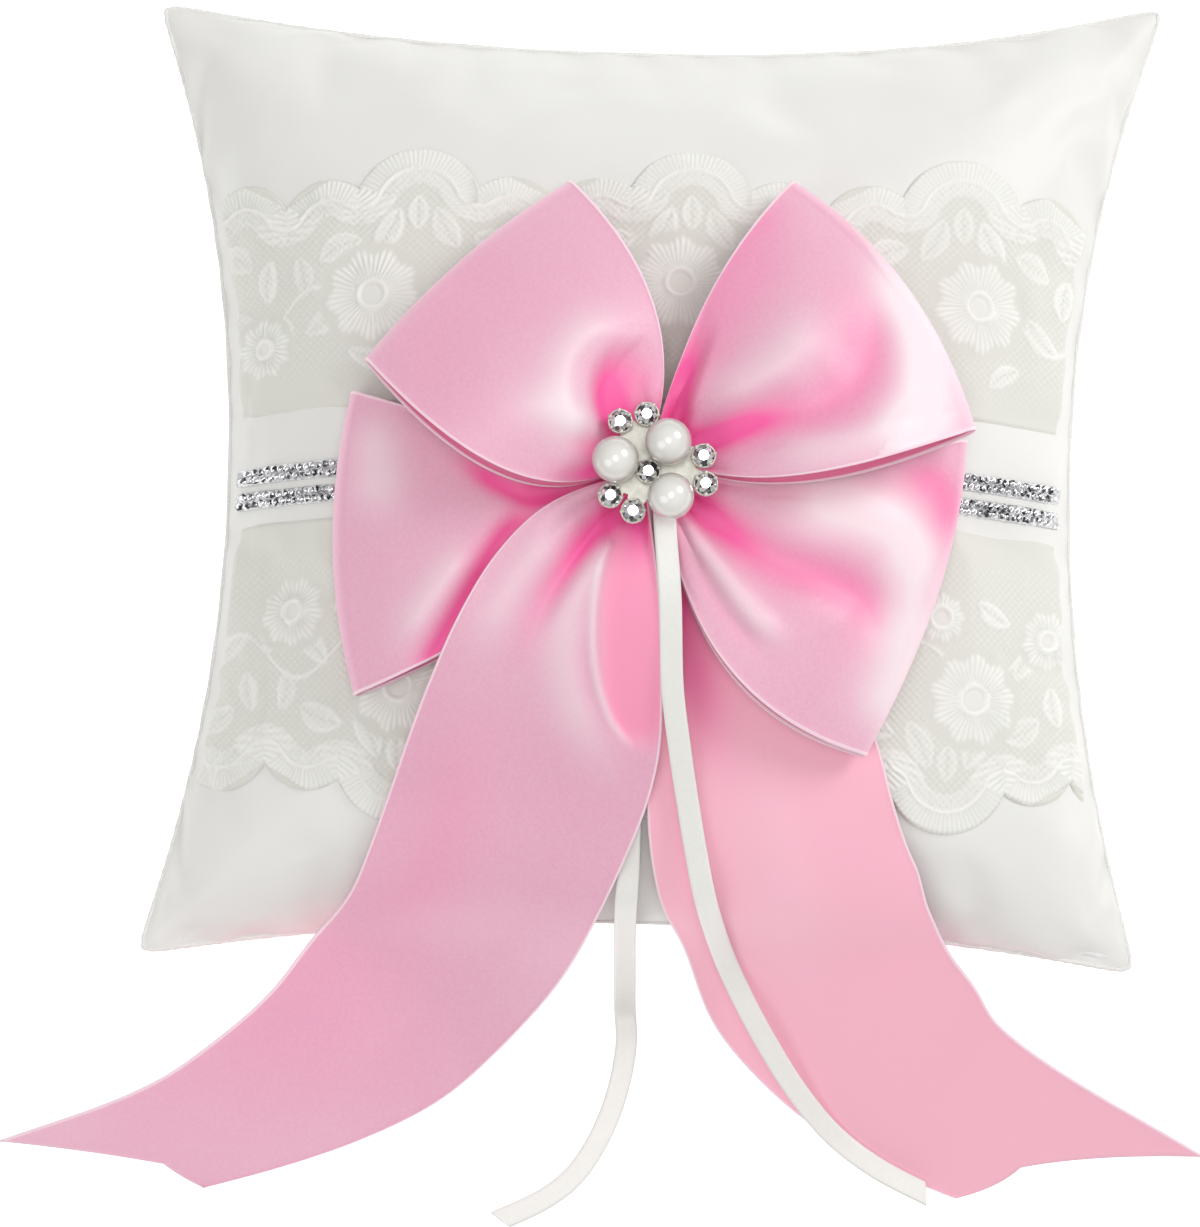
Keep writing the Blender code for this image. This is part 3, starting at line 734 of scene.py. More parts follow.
def settled(points, moved, face):
    """The points part of the way to where the cloth went: less near the corners, where cloth
    crumples, and nowhere so high that the face lifts what lies on it."""
    change = moved - points
    size = np.linalg.norm(change, axis=1, keepdims=True)
    change *= np.minimum(1.0, MOST_MOVE / np.maximum(size, 1e-9))
    across, down = np.abs(points[:, 0]) / CORNER_X, np.abs(points[:, 1]) / CORNER_Y
    change *= smooth(0.97, 0.86, np.minimum(across, down))[:, None]
    middle = smooth(1.0, 0.8, np.maximum(across * CORNER_X / WAIST_X, down * CORNER_Y / WAIST_Y))
    over = (change[:, 2] - SLACK)[face & (middle > 0.99)].max()
    change[:, 2] -= np.where(face, middle * max(over, 0.0), 0.0)
    points = points + change
    points[:, 2] = np.maximum(points[:, 2], 0.0)
    return points


def make_cushion():
    """The stuffed cushion; also its face, its points and the grid of its back's points."""
    front, back = cushion_shape()
    n = FACE_STEPS + 1
    rim = np.zeros((n, n), bool)
    rim[0, :] = rim[-1, :] = rim[:, 0] = rim[:, -1] = True
    back_index = np.arange(n * n).reshape(n, n)
    back_index[~rim] = n * n + np.arange((~rim).sum())
    points = np.concatenate([front.reshape(-1, 3), back[~rim]])
    back_faces = back_index.reshape(-1)[grid_faces(n, n, flip=True)]
    obj = mesh_object("stuffed_cushion", points, [grid_faces(n, n), back_faces], CUSHION_SATIN)
    held = points[:, 2] < RESTING
    held[: n * n] |= rim.reshape(-1)
    points = settled(points, simulate(obj, held), np.arange(len(points)) < n * n)
    obj.data.vertices.foreach_set("co", points.reshape(-1))
    obj.data.update()
    return obj, Surface(points[: n * n].reshape(n, n, 3)), points, back_index


def subdivide(obj):
    modifier = obj.modifiers.new("finer", "SUBSURF")
    modifier.levels = modifier.render_levels = 1
    modifier.boundary_smooth = "PRESERVE_CORNERS"


def make_filling(points, back_index):
    """The fibre filling, just inside the cover."""
    n = FACE_STEPS + 1
    keep = slice(4, n - 4, 3)
    front = points[: n * n].reshape(n, n, 3)[keep, keep].copy()
    back = points[back_index][keep, keep].copy()
    share = np.linspace(-1, 1, front.shape[0])
    a, b = np.meshgrid(share, share, indexing="ij")
    near = smooth(1.0, 0.75, np.maximum(np.abs(a), np.abs(b)))
    lumps = 0.5 * MM * np.sin(a * 19 + 2 * b) * np.sin(b * 17 - a)
    middle = (front + back)[..., 2] / 2
    front[..., 2] = mix(middle + 1 * MM, front[..., 2] - 2.6 * MM + lumps, near)
    back[..., 2] = mix(middle - 1 * MM, back[..., 2] + 1.6 * MM, near)
    cloud = np.concatenate([front.reshape(-1, 3), back.reshape(-1, 3)])
    obj = mesh_object("wadding_filling", cloud, slab_faces(*front.shape[:2]), FIBRE)
    subdivide(obj)
    finish_piece(obj, ["fibre_filling"])


def make_seam(per_side=150, sides=8):
    """The seam's stitched thread: a fine rope round the outline, with a twist."""
    outline = []
    share = spread(np.linspace(0, 1, per_side, endpoint=False))
    one = np.ones_like(share)
    for u, v in ((share, -one), (one, share), (-share, one), (-one, -share)):
        side = np.stack([u * half_width(v), v * half_depth(u), np.full_like(u, SEAM_Z)], -1)
        outline.append(with_turned_corners(side, u, v))
    line = np.concatenate(outline)
    side = np.cross(unit(np.roll(line, -1, 0) - np.roll(line, 1, 0)), (0, 0, 1.0))
    angle = np.linspace(0, 2 * np.pi, sides, endpoint=False)
    twist = 2 * angle[None, :] + run_along(line)[:, None] * 2 * np.pi / THREAD_TWIST
    radius = THREAD_RADIUS * (1 + 0.18 * np.cos(twist))
    rings = (
        line[:, None, :] + side[:, None, :] * (radius * np.cos(angle))[..., None]
        + np.array([0, 0, 1.0]) * (radius * np.sin(angle))[..., None]
    )
    own = np.arange(len(line) * sides).reshape(-1, sides)
    beside = np.roll(own, -1, 1)
    quads = np.stack([own, beside, np.roll(beside, -1, 0), np.roll(own, -1, 0)], -1)
    obj = mesh_object("stitched_seam", rings, [quads.reshape(-1, 4)], THREAD)
    finish_piece(obj, ["seam_thread"])


# ---- lace

ARC_STEP = SCALLOP_PITCH / MM / 3
ARC_RADII = (12.6, 10.2, 10.2)  # one arc stands out, two follow
ARC_DROPS = (0.0, 6.2, 6.2)  # how far each arc's peak is under the highest line
PEAK_RISE = 7.6  # of the highest arcs over the band's reach
BORDER, STITCH = 4.5, 1.07  # mm


def arc(index):
    """Radius of a scallop and the height of its centre under the highest line."""
    kind = np.mod(index, 3).astype(int)
    radius = np.array(ARC_RADII)[kind]
    return radius, -np.array(ARC_DROPS)[kind] - radius


def cusp(index):
    """Where a scallop meets the next one, from the first one's centre."""
    (r1, y1), (r2, y2) = arc(index), arc(index + 1)
    dx, dy = ARC_STEP, y2 - y1
    span = np.hypot(dx, dy)
    along = (r1**2 - r2**2 + span**2) / (2 * span)
    rise = np.sqrt(np.maximum(r1**2 - along**2, 0.0))
    return (along * dx - rise * dy) / span, y1 + (along * dy + rise * dx) / span


def lace_edge(x, reach, centre):
    """The scalloped outer edge in mm."""
    k = np.round((x - centre) / ARC_STEP)
    best = np.full_like(x, -99.0)
    for step in (-1, 0, 1):
        radius, low = arc(k + step)
        inside = radius**2 - (x - centre - (k + step) * ARC_STEP) ** 2
        best = np.maximum(best, np.where(inside > 0, low + np.sqrt(np.maximum(inside, 0.0)), -99.0))
    return reach + PEAK_RISE + best


def edge_distance(x, y, reach, centre):
    """Distance in from the scalloped edge, and the run of stitches along it, in mm."""
    y = y - reach - PEAK_RISE
    k = np.round((x - centre) / ARC_STEP)
    depth, run = np.full_like(x, 99.0), np.zeros_like(x)
    for step in (-1, 0, 1):
        index = k + step
        radius, low = arc(index)
        hub = centre + index * ARC_STEP
        (left_x, left_y), (right_x, right_y) = cusp(index - 1), cusp(index)
        left_x = left_x - ARC_STEP
        angle = np.arctan2(x - hub, y - low)
        first, final = np.arctan2(left_x, left_y - low), np.arctan2(right_x, right_y - low)
        inside = (angle > first) & (angle < final)
        own = np.where(inside, radius - np.hypot(x - hub, y - low), 99.0)
        for end_x, end_y in ((left_x, left_y), (right_x, right_y)):
            own = np.minimum(own, np.hypot(x - hub - end_x, y - end_y))
        run = np.where(own < depth, angle * np.round(2 * np.pi * radius / STITCH), run)
        depth = np.minimum(depth, own)
    return depth, run


def daisy(x, y, cx, cy, ring, reach, rays):
    """Height of one daisy: a corded eyelet, rays of satin stitch, and ragged petal tips."""
    dx, dy = x - cx, y - cy
    r, angle = np.hypot(dx, dy), np.arctan2(dy, dx)
    wobble = reach * (1 + 0.07 * np.cos(9 * angle + cx))
    rays_h = (0.5 + 0.5 * np.cos(round(rays * 1.25) * angle)) ** 0.8
    body = smooth(wobble, wobble - 1.6, r) * smooth(ring, ring + 0.7, r)
    cord = bell(r - ring, 0.42)
    button = smooth(ring - 0.5, ring - 1.1, r)
    petal = 0.75 + 0.25 * np.abs(np.cos(4.5 * angle + 0.5 * cx))
    height = body * (0.04 + 0.42 * rays_h * petal) + 0.62 * cord + 0.12 * button
    return np.where(r < reach * 1.3, height, 0.0), smooth(reach * 1.25, reach * 1.05, r)


def leaf(x, y, cx, cy, length, width, degrees, curl=0.0):
    """A padded leaf: corded outline, stitches slanting from its vein."""
    angle = math.radians(degrees)
    a = (x - cx) * math.cos(angle) + (y - cy) * math.sin(angle)
    b = -(x - cx) * math.sin(angle) + (y - cy) * math.cos(angle)
    b = b - curl * (a / length) ** 2 * length
    q = np.clip(np.abs(a) / (length / 2), 0, 1)
    edge = width / 2 * (1 - q**2.2)
    inside = (np.abs(a) < length / 2) * smooth(0.0, 0.5, edge - np.abs(b))
    outline = bell(np.abs(b) - edge, 0.38) * (np.abs(a) < length / 2)
    stitch = 0.5 + 0.5 * np.cos(2 * np.pi * (a + 0.8 * np.abs(b)) / 0.95)
    vein = 1 - 0.8 * bell(b, 0.35)
    return inside * (0.12 + 0.24 * stitch) * vein + 0.34 * outline


# Leaves: x and y from a scallop's middle, length, width, direction in degrees and curl.
MIDDLE_LEAVES = ((0.0, -1.0, 7.0, 3.4, 90, 0.0), (26.75, -24.0, 7.0, 3.4, 90, 0.0))
RIGHT_LEAVES = (
    (5.5, -4.5, 9.5, 4.2, 118, -0.22), (15.5, -7.5, 9.0, 4.6, 155, 0.35),
    (22.5, -13.0, 8.0, 3.4, 80, -0.3), (17.5, -22.0, 10.0, 3.8, 140, -0.4),
    (9.0, -30.0, 8.0, 3.2, 30, -0.3),
)
LEFT_LEAVES = tuple(
    (-x, y, *size, 180 - degrees, -curl) for x, y, *size, degrees, curl in RIGHT_LEAVES
)


def lace_height(x, y, reach, centre, daisies):
    """Relief over the net ground, in mm; y grows from the inner edge out to the scallops."""
    depth, run = edge_distance(x, y, reach, centre)
    stitches = (0.5 + 0.5 * np.cos(run)) ** 0.8
    border = smooth(-0.1, 0.35, depth) * smooth(BORDER + 0.1, BORDER - 0.3, depth)
    cord = bell(depth - BORDER, 0.36)
    inner = smooth(BORDER + 0.4, BORDER + 0.7, depth) * smooth(8.0, 7.2, depth)
    inner_stitches = (0.5 + 0.5 * np.cos(run * 0.8)) ** 0.8
    height = border * (0.10 + 0.34 * stitches) + 0.40 * cord
    height = height + inner * (0.08 + 0.22 * inner_stitches)
    net = 0.05 * (np.cos(2 * np.pi * (x + y) / 1.5) + np.cos(2 * np.pi * (x - y) / 1.5))
    fade = smooth(LACE_INNER_Y / MM + 1, LACE_INNER_Y / MM + 12, y)
    wave = 0.5 + 0.5 * np.sin(0.31 * x + 1.3 * np.sin(0.17 * x))
    height = height + net * fade * smooth(4.4, 5.0, depth)
    clear = np.ones_like(x)
    total = np.zeros_like(x)
    for cx, cy, ring, size, rays in daisies:
        bloom, hides = daisy(x, y, cx, cy, ring, size, rays)
        total = total * (1 - hides) + bloom
        clear = clear * (1 - hides)
    leaves = np.zeros_like(x)
    turn = SCALLOP_PITCH / MM
    first = int(np.floor((-105 - centre) / turn))
    for k in range(first, first + 6):
        for dx, dy, length, width, degrees, curl in MIDDLE_LEAVES + RIGHT_LEAVES + LEFT_LEAVES:
            place = centre + k * turn + dx, reach - 5 + dy
            leaves = np.maximum(leaves, leaf(x, y, *place, length, width, degrees, curl))
    vine_y = reach - 25 + 4.5 * np.sin(2 * np.pi * (x - centre) / turn * 2)
    vine = 0.30 * bell(y - vine_y, 0.45) * fade
    inner_part = smooth(7.4, 8.4, depth)
    height = height + clear * inner_part * np.maximum(leaves * mix(0.45, 1.0, wave) * fade, vine)
    return height * (1 - (1 - clear) * smooth(4.2, 6.0, depth)) + total * smooth(2.0, 4.6, depth)


LACE_BANDS = (  # name, side, reach, a scallop's middle, daisies: x, y, eyelet, reach and rays
    ("upper_lace", 1, UPPER_LACE_Y / MM - 0.5, UPPER_SCALLOP_X / MM, [
        (-55, 33, 2.7, 9.2, 34), (5, 35, 2.7, 9.4, 36), (64, 33.5, 2.7, 9.2, 34),
        (-28, 30, 1.9, 6.5, 24), (34, 29, 1.9, 6.5, 24), (-78, 24, 1.7, 6.0, 22),
    ]),
    ("lower_lace", -1, LOWER_LACE_Y / MM + 0.5, LOWER_SCALLOP_X / MM, [
        (-48, 44, 2.6, 8.8, 34), (-70, 29, 2.0, 7.0, 26), (5, 44, 2.7, 9.0, 34),
        (64, 44, 2.7, 8.8, 34), (57, 28.5, 2.1, 5.0, 20), (-20, 30, 1.9, 6.5, 24),
        (30, 32, 1.9, 6.5, 24), (81, 31, 1.8, 6.0, 22),
    ]),
)


def along_band(columns, rows):
    """Shares along a band from seam to seam, and across it."""
    u = np.linspace(-SEAM_REACH, SEAM_REACH, columns)
    return np.meshgrid(u, np.linspace(0, 1, rows), indexing="ij")


def make_lace(surface):
    columns, rows = fine((620, 170))
    for name, side, reach, centre, daisies in LACE_BANDS:
        u, t = along_band(columns, rows)
        x = u * WAIST_X / MM * 1.06
        for _ in range(4):
            y = mix(LACE_INNER_Y / MM, lace_edge(x, reach, centre), t)
            v = side * y * MM / half_depth(u)
            x = u * half_width(v) / MM
        height = lace_height(x, y, reach, centre, daisies)
        border = smooth(0.0, 0.012, 1 - t) * smooth(0.0, 0.012, t)
        border = border * smooth(0.0, 0.008, SEAM_REACH - np.abs(u))
        points = surface.lifted(u, v, (0.06 + border * (0.42 + height)) * MM)
        faces = [grid_faces(columns, rows, flip=side < 0)]
        obj = mesh_object(name + "_relief", points, faces, LACE, np.stack([x * MM, y * MM], -1))
        # The height share paints shade into the lace's colour: lower parts are darker.
        set_attribute(obj, "relief_for_painted_shade", np.clip(height / 0.45, 0, 1))
        finish_piece(obj, [name])


# ---- rhinestone trims


STONE_PITCH, STONE_ROW = 1.5 * MM, 1.55 * MM
STONE_SIDES = 5
STONE_LEVELS = ((0.82, 0.0), (0.72, 0.36), (0.30, 0.66))  # radius and height in mm
STONE_FACES = [
    (low + k, low + after, low + STONE_SIDES + after, low + STONE_SIDES + k)
    for low in (0, STONE_SIDES)
    for k, after in ((k, (k + 1) % STONE_SIDES) for k in range(STONE_SIDES))
]


def stone(u, v):
    """One stone's points, as u, v and the height over the face."""
    turn = RNG.uniform(0, 2 * np.pi)
    tilt = RNG.uniform(-0.16, 0.16, 2)
    points = []
    for level, (radius, rise) in enumerate(STONE_LEVELS):
        for k in range(STONE_SIDES):
            a = turn + 2 * np.pi * k / STONE_SIDES
            x, y = radius * math.cos(a), radius * math.sin(a)
            z = rise + (tilt[0] * x + tilt[1] * y) * (level > 0)
            points.append((u + x * MM / WAIST_X, v + y * MM / WAIST_Y, (0.45 + z) * MM))
    return points


def stone_rows(centre):
    """All the stones of one trim: their points, and the random tones of their sides and tops, which are
    painted reflections.
    """
    points, sides, tops = [], [], []
    end = WAIST_X * SEAM_REACH
    for row in range(2):
        for k in range(int(2 * end / STONE_PITCH)):
            x = (k + 0.5 + 0.5 * row) * STONE_PITCH - end
            if abs(x) > end - 0.3 * MM:
                continue
            jitter = RNG.uniform(-0.12, 0.12, 2) * MM
            u = (x + jitter[0]) / WAIST_X
            y = centre + (row - 0.5) * STONE_ROW + jitter[1]
            points += stone(u, y / float(half_depth(u)))
            # Random tones for each stone's sides and top: painted reflections.
            sides += [RNG.uniform(0, 1) for _ in STONE_FACES]
            tops.append(RNG.uniform(0.25, 1))
    return np.array(points), sides, tops


def make_trims(surface):
    for name, side in (("upper_rhinestone_trim", 1), ("lower_rhinestone_trim", -1)):
        centre = TRIM_Y + side * TRIM_PITCH / 2
        u, t = along_band(240, 9)
        v = (centre + (t - 0.5) * TRIM_HEIGHT) / half_depth(u)
        lift = 0.15 * MM + 0.35 * MM * smooth(0.0, 0.12, t) * smooth(1.0, 0.88, t)
        tape = mesh_object(name + "_tape", surface.lifted(u, v, lift), [grid_faces(240, 9)], TRIM_TAPE)
        flat, sides, tops = stone_rows(centre)
        placed = surface.lifted(flat[:, 0], flat[:, 1], flat[:, 2])
        first = np.arange(len(tops))[:, None] * len(STONE_LEVELS) * STONE_SIDES
        quads = (first[:, :, None] + np.array(STONE_FACES)).reshape(-1, 4)
        tables = first + 2 * STONE_SIDES + np.arange(STONE_SIDES)
        stones = mesh_object(name + "_stones", placed, [quads, tables], TRIM_STONE, smooth_faces=False)
        set_attribute(stones, "painted_reflection", sides + tops, "FACE")
        finish_piece(tape, [name])
        finish_piece(stones, [])


# ---- the bow


def ribbon_columns(count):
    """Places across the ribbon, closer together at the selvedges."""
    edge = np.array([0.0, 0.004, 0.009, 0.014, 0.02])
    return np.concatenate([edge, np.linspace(0.035, 0.965, count), 1 - edge[::-1]])


def make_ribbon(name, points, t, marks):
    """A ribbon with two faces, rounded edges and raised selvedges, from its middle surface. The
    marks give each attribute's values on its upper and on its lower face."""
    normal = unit(np.cross(np.gradient(points, axis=0), np.gradient(points, axis=1)))
    rows, columns = points.shape[:2]
    from_edge = np.minimum(t, 1 - t)[None, :, None]
    half = RIBBON_THICKNESS / 2 * (1 + 0.9 * bell(from_edge - 0.008, 0.006))
    upper, lower = points + normal * half, points - normal * half
    cloud = np.concatenate([upper.reshape(-1, 3), lower.reshape(-1, 3)])
    length = run_along(points[:, columns // 2])
    uv = np.stack(np.broadcast_arrays(t[None, :] * RIBBON_WIDTH, length[:, None]), -1)
    uv = np.concatenate([uv.reshape(-1, 2)] * 2)
    obj = mesh_object(name + "_satin", cloud, slab_faces(rows, columns), PINK_SATIN, uv)
    plus_is_up = normal[-rows // 4:, :, 2].mean() > 0
    for key, (above, below) in marks.items():
        pair = (above, below) if plus_is_up else (below, above)
        both = [np.broadcast_to(values, (rows, columns)).reshape(-1) for values in pair]
        set_attribute(obj, key, np.clip(np.concatenate(both), 0, 1))
    finish_piece(obj, [name])


def loop_heights(loop, s, t):
    at_knot, far_a, far_b = (h * MM for h in loop["leaf"])
    gap_knot, belly, gap_fold = (h * MM for h in loop["gap"])
    low = mix(at_knot, mix(far_a, far_b, t), s**LEAF_RISE_POWER)
    swell = s * s * (1 - s) / SWELL_PEAK * mix(SIDE_A_SWELL, 1.0, np.sin(np.pi * t / 2))
    return low, mix(gap_knot, gap_fold, s) + belly * swell


def bend(start, pull, end, share):
    share = share[..., None]
    return mix(mix(start, pull, share), mix(pull, end, share), share)


def gather_point(degrees):
    angle = math.radians(degrees)
    return KNOT + np.array((math.cos(angle), math.sin(angle))) * GATHER_RADIUS


def leaf_plan(loop, s, t):
    pull_a, far_a = (np.array(p, float) * MM for p in loop["side_a"])
    pull_b, far_b = (np.array(p, float) * MM for p in loop["side_b"])
    side_a = bend(gather_point(loop["gather"][0]), pull_a, far_a, s)
    side_b = bend(gather_point(loop["gather"][1]), pull_b, far_b, s)
    pull = np.array(loop["fold"], float) * MM
    bulge = bend(far_a, pull, far_b, t) - mix(far_a, far_b, t[..., None])
    return mix(side_a, side_b, t[..., None]) + bulge * (s * s)[..., None]


def crease(line, widths, height=0.0, tone=0.0, fades=(0.02, 0.4), power=2, reverse=0.0):
    """A fold drawn in the plan: its way in mm, its half widths on the left and on the right of
    the way, its height in mm (a hollow is negative), its tone (negative paints shade as deep pink,
    positive paints a whitish highlight), the shares of the way over which it comes and goes, and how
    steep its sides are."""
    return np.array(line, float) * MM, widths, height * MM, tone, fades, power, reverse


# Each fold's tone paints shade into the satin as deep pink (negative) or a highlight as whitish pink
# (positive).
CREASES = {
    "bow_loop_upper_left": [
        crease([(-2, 0), (-6.8, 6.6), (-7.4, 13), (-4.6, 18)], (3.8, 6), -2.6, -0.15, (0.02, 0.35), 4),
        crease([(-3, 0), (-8.6, 6), (-9.8, 12.5), (-8.2, 19)], (2, 4.4), 0, -1.2, (0.02, 0.6)),
        crease([(-2, 2), (-4, 9), (-4, 15)], (6, 6), 0, -0.35, (0.02, 0.3), 4),
        crease(
            [(-13, 2), (-16.8, 8), (-17, 16), (-12, 22.4), (-4, 24)],
            (4.6, 3), 1.2, 0.55, (0.15, 0.3),
        ),
        crease([(-14, 2), (-20, 6.3), (-27, 9)], (5, 5), 1, 0.5, (0.2, 0.5)),
        crease([(-4, -1), (-11, -0.6), (-18, 1.5)], (2.6, 2.8), -1.4, -1, (0.02, 0.75)),
        crease([(-4, -3), (-12, -5), (-21, -6.8)], (1.8, 2.2), -0.8, -1, (0.02, 0.6)),
        crease([(-34, 34), (-40, 25), (-44, 16)], (9, 7), -0.8, -0.06, (0.2, 0.2)),
    ],
    "bow_loop_upper_right": [
        crease([(3, 1.5), (4.6, 9.8), (7, 17.7), (10.4, 27)], (3.6, 2.8), -2.6, 0, (0.02, 0.4), 4),
        crease([(3, 1.5), (4.6, 9.8), (6.8, 17.7), (10.4, 29)], (4, 3), 0, -1.5, (0.02, 0.6)),
        crease([(7, 28), (15, 41), (25, 50)], (6, 5), -1, -0.35, (0.2, 0.3)),
        crease([(10, 16), (16, 28), (24, 40)], (5, 5), -0.6, -0.22, (0.2, 0.3)),
        crease(
            [(6, 0), (15, 3.6), (23, 6.2), (31, 7.6), (37.5, 11.5), (41, 18), (41, 26), (36, 33)],
            (5.6, 5.4), -2.4, -0.42, (0.04, 0.25),
        ),
        crease([(5, 0), (13, 3), (21, 5.6), (29, 6.6)], (2.6, 2.8), 0, -0.95, (0.02, 0.55)),
        crease([(12, 10), (20, 14), (27, 20), (31, 28)], (4.5, 4), 1.4, 0.5, (0.25, 0.35)),
        crease([(46, 2), (51.5, 12), (50, 26), (42, 40)], (5, 9), 0.8, 1.2, (0.2, 0.25)),
        crease([(24, -0.5), (38, 1.5), (54, 7)], (2.6, 5), 0.6, 0.5, (0.3, 0.1)),
    ],
    "bow_loop_lower_left": [
        crease([(-53, 6), (-52.5, -3), (-53.5, -11)], (5, 5), 1.4, 0.6, (0.3, 0.4)),
        crease([(-7, -4), (-14, -6.2), (-21.5, -8.3), (-29, -11)], (2.6, 2.4), -1.2, -1, (0.02, 0.6)),
        crease(
            [(-21, -11), (-27.5, -17), (-32, -24.5), (-37, -33.5), (-43, -44)],
            (4, 3.2), -1.4, -1.25, (0.25, 0.1),
        ),
        crease([(-36, -20), (-41.5, -27.5), (-48, -37)], (3, 4), 1.2, 0.5, (0.3, 0.3)),
        crease(
            [(-10, -5.8), (-20, -8.2), (-27, -7.6), (-33, -4.4), (-38.5, 0.6)],
            (2.2, 2.6), -0.4, -1.1, (0.02, 0.35),
        ),
    ],
    "bow_loop_lower_right": [
        crease(
            [(7, -8), (16.7, -16), (25.5, -21), (34, -23.5), (41.5, -27), (43, -32), (38.5, -38)],
            (4.8, 4.8), -2.4, -0.55, (0.02, 0.3),
        ),
        crease([(6, -7), (14, -13.5), (23, -19.5)], (2.8, 2.8), 0, -0.75, (0.02, 0.6)),
        crease([(6.4, -12), (13.4, -22), (20.3, -31), (27.5, -37)], (2.4, 2.8), 1.4, 0.55, (0.1, 0.3)),
        crease([(8, -19), (15, -30), (22, -38)], (1.6, 2), -0.8, -0.12, (0.2, 0.3)),
        crease([(50, -1.5), (55.5, -4), (58, -9), (56, -15)], (4, 4.6), -1.4, -0.6, (0.3, 0.35)),
        crease([(28, -8.5), (40, -9.6), (50, -15), (53, -27)], (5.4, 6.4), 1.2, 1.3, (0.25, 0.3)),
        crease([(50, -28), (50, -39), (47, -49)], (8, 7), 0.6, 1.05, (0.3, 0.2)),
    ],
    "bow_tail_left": [
        crease(
            [(-3.5, -8), (-9, -14), (-15, -22), (-20.5, -31.5), (-24, -40)],
            (2.6, 3.4), -2.8, -1.1, (0.02, 0.65),
        ),
        crease(
            [(-10, -20), (-13.6, -27), (-15.4, -34), (-15.4, -44), (-11, -54), (-4, -63)],
            (3, 5), 1.2, 0.5, (0.12, 0.3),
        ),
        crease([(-18, -17), (-25, -25), (-29.5, -33), (-34, -42)], (4, 4), 1, 0.4, (0.2, 0.4)),
        crease(
            [(-3.4, -12), (-4, -22), (-4, -34), (-3.2, -45), (-0.5, -53)],
            (6.5, 5.4), -1.4, -0.4, (0.06, 0.14), 6, 1,
        ),
        crease(
            [(-7.4, -17), (-9.8, -24), (-10.9, -33), (-10.1, -42.5), (-7, -51), (-2, -57)],
            (0.6, 1), 0.8, 0.6, (0.1, 0.15),
        ),
        crease([(-1.5, -8), (-2.2, -13), (-3.4, -24)], (2.8, 2.8), -0.8, -1, (0.02, 0.7)),
        crease([(-34, -52), (-40, -75), (-50, -92)], (8, 7), 1, -0.12, (0.3, 0.3)),
        crease([(-55, -98), (-75, -113), (-102, -128)], (22, 22), 0, -0.12, (0.3, 0.2)),
    ],
    "bow_tail_right": [
        crease([(5, -26), (8, -38), (11, -50), (15, -62)], (6, 5), -0.3, -0.7, (0.1, 0.6)),
        crease([(2.5, -12), (4, -24), (4, -36)], (4, 4), 0, -0.8, (0.02, 0.5)),
        crease([(24, -60), (28, -80), (36, -100)], (6, 8), 0.8, 0.1, (0.3, 0.4)),
    ],
}


def crease_fields(x, y, creases):
    """The folds' heights at places in the plan, and the shares of painted shade, painted highlight and
    reverse face there.
    """
    height, painted_shade, painted_highlight, reverse = (np.zeros_like(x) for _ in range(4))
    share = np.linspace(0, 1, 96)
    for line, (left, right), rise, tone, (come, go), power, turned in creases:
        way = catmull(line, share)
        ahead = np.gradient(way, axis=0)
        gap = np.stack([x, y], -1)[..., None, :] - way
        on_left = ahead[:, 0] * gap[..., 1] > ahead[:, 1] * gap[..., 0]
        reach = np.linalg.norm(gap, axis=-1) / (np.where(on_left, left, right) * MM)
        fade = smooth(0, come, share + 0.01) * smooth(1.0, 1 - go, share)
        amount = (np.exp(-(reach**power)) * fade).max(-1)
        height += rise * amount
        painted_shade += max(-tone, 0) * amount
        painted_highlight += max(tone, 0) * amount
        reverse += turned * amount
    return height, painted_shade, painted_highlight * (1 - np.clip(painted_shade, 0, 1)), reverse


def pleats(s, t, count, phase):
    """Sharp gathers at the knot, gone a third of the way out."""
    wave = np.abs(np.sin(np.pi * count * t + phase)) - 0.5
    return 1.1 * MM * wave * smooth(0.34, 0.02, s)


INSIDE_PAINTED_SHADE = 0.5  # how strongly shade is painted, in deep pink, on a loop's inside
UNDER_RING_RIBBON = 1.6 * MM  # how far the left tail's side goes towards the ring ribbon


def make_loops():
    for number, (name, loop) in enumerate(LOOPS.items()):
        leaf_rows, fold_rows = fine((120, 26))
        t = ribbon_columns(fine(90))
        out = np.linspace(0, 1, leaf_rows) * FOLD_INSET
        angle = np.linspace(-np.pi / 2, np.pi / 2, fold_rows + 2)[1:-1]
        s = np.concatenate([out, FOLD_INSET + (1 - FOLD_INSET) * np.cos(angle), out[::-1]])
        turn = np.concatenate([-np.ones(leaf_rows), np.sin(angle), np.ones(leaf_rows)])
        s2, t2 = np.meshgrid(s, t, indexing="ij")
        place = leaf_plan(loop, s2, t2)
        low, gap = loop_heights(loop, np.minimum(s2, FOLD_INSET), t2)
        up = np.broadcast_to((turn[:, None] + 1) / 2, s2.shape)
        folds, painted_shade, painted_highlight, _ = crease_fields(place[..., 0], place[..., 1], CREASES[name])
        folds += pleats(s2, t2, 5, number)
        lift = np.maximum(gap * up + folds * mix(0.35, 1.0, up), folds * 0.35 + 0.9 * MM * up)
        z = ground(place[..., 0], place[..., 1]) + low + lift
        points = np.concatenate([place, z[..., None]], -1)
        # Shade painted in deep pink near the knot, where the gathers crowd together.
        painted_shade += 0.5 * smooth(0.26, 0.04, s2)
        # The inside of a loop gets painted shade all over; painted shade and highlights from the folds
        # go on the outside of its upper leaf.
        marks = {
            "painted_shade": (painted_shade * up, INSIDE_PAINTED_SHADE), "painted_highlight": (painted_highlight * up, 0.0), "reverse": (0.0, 0.3),
        }
        make_ribbon(name, points, t, marks)


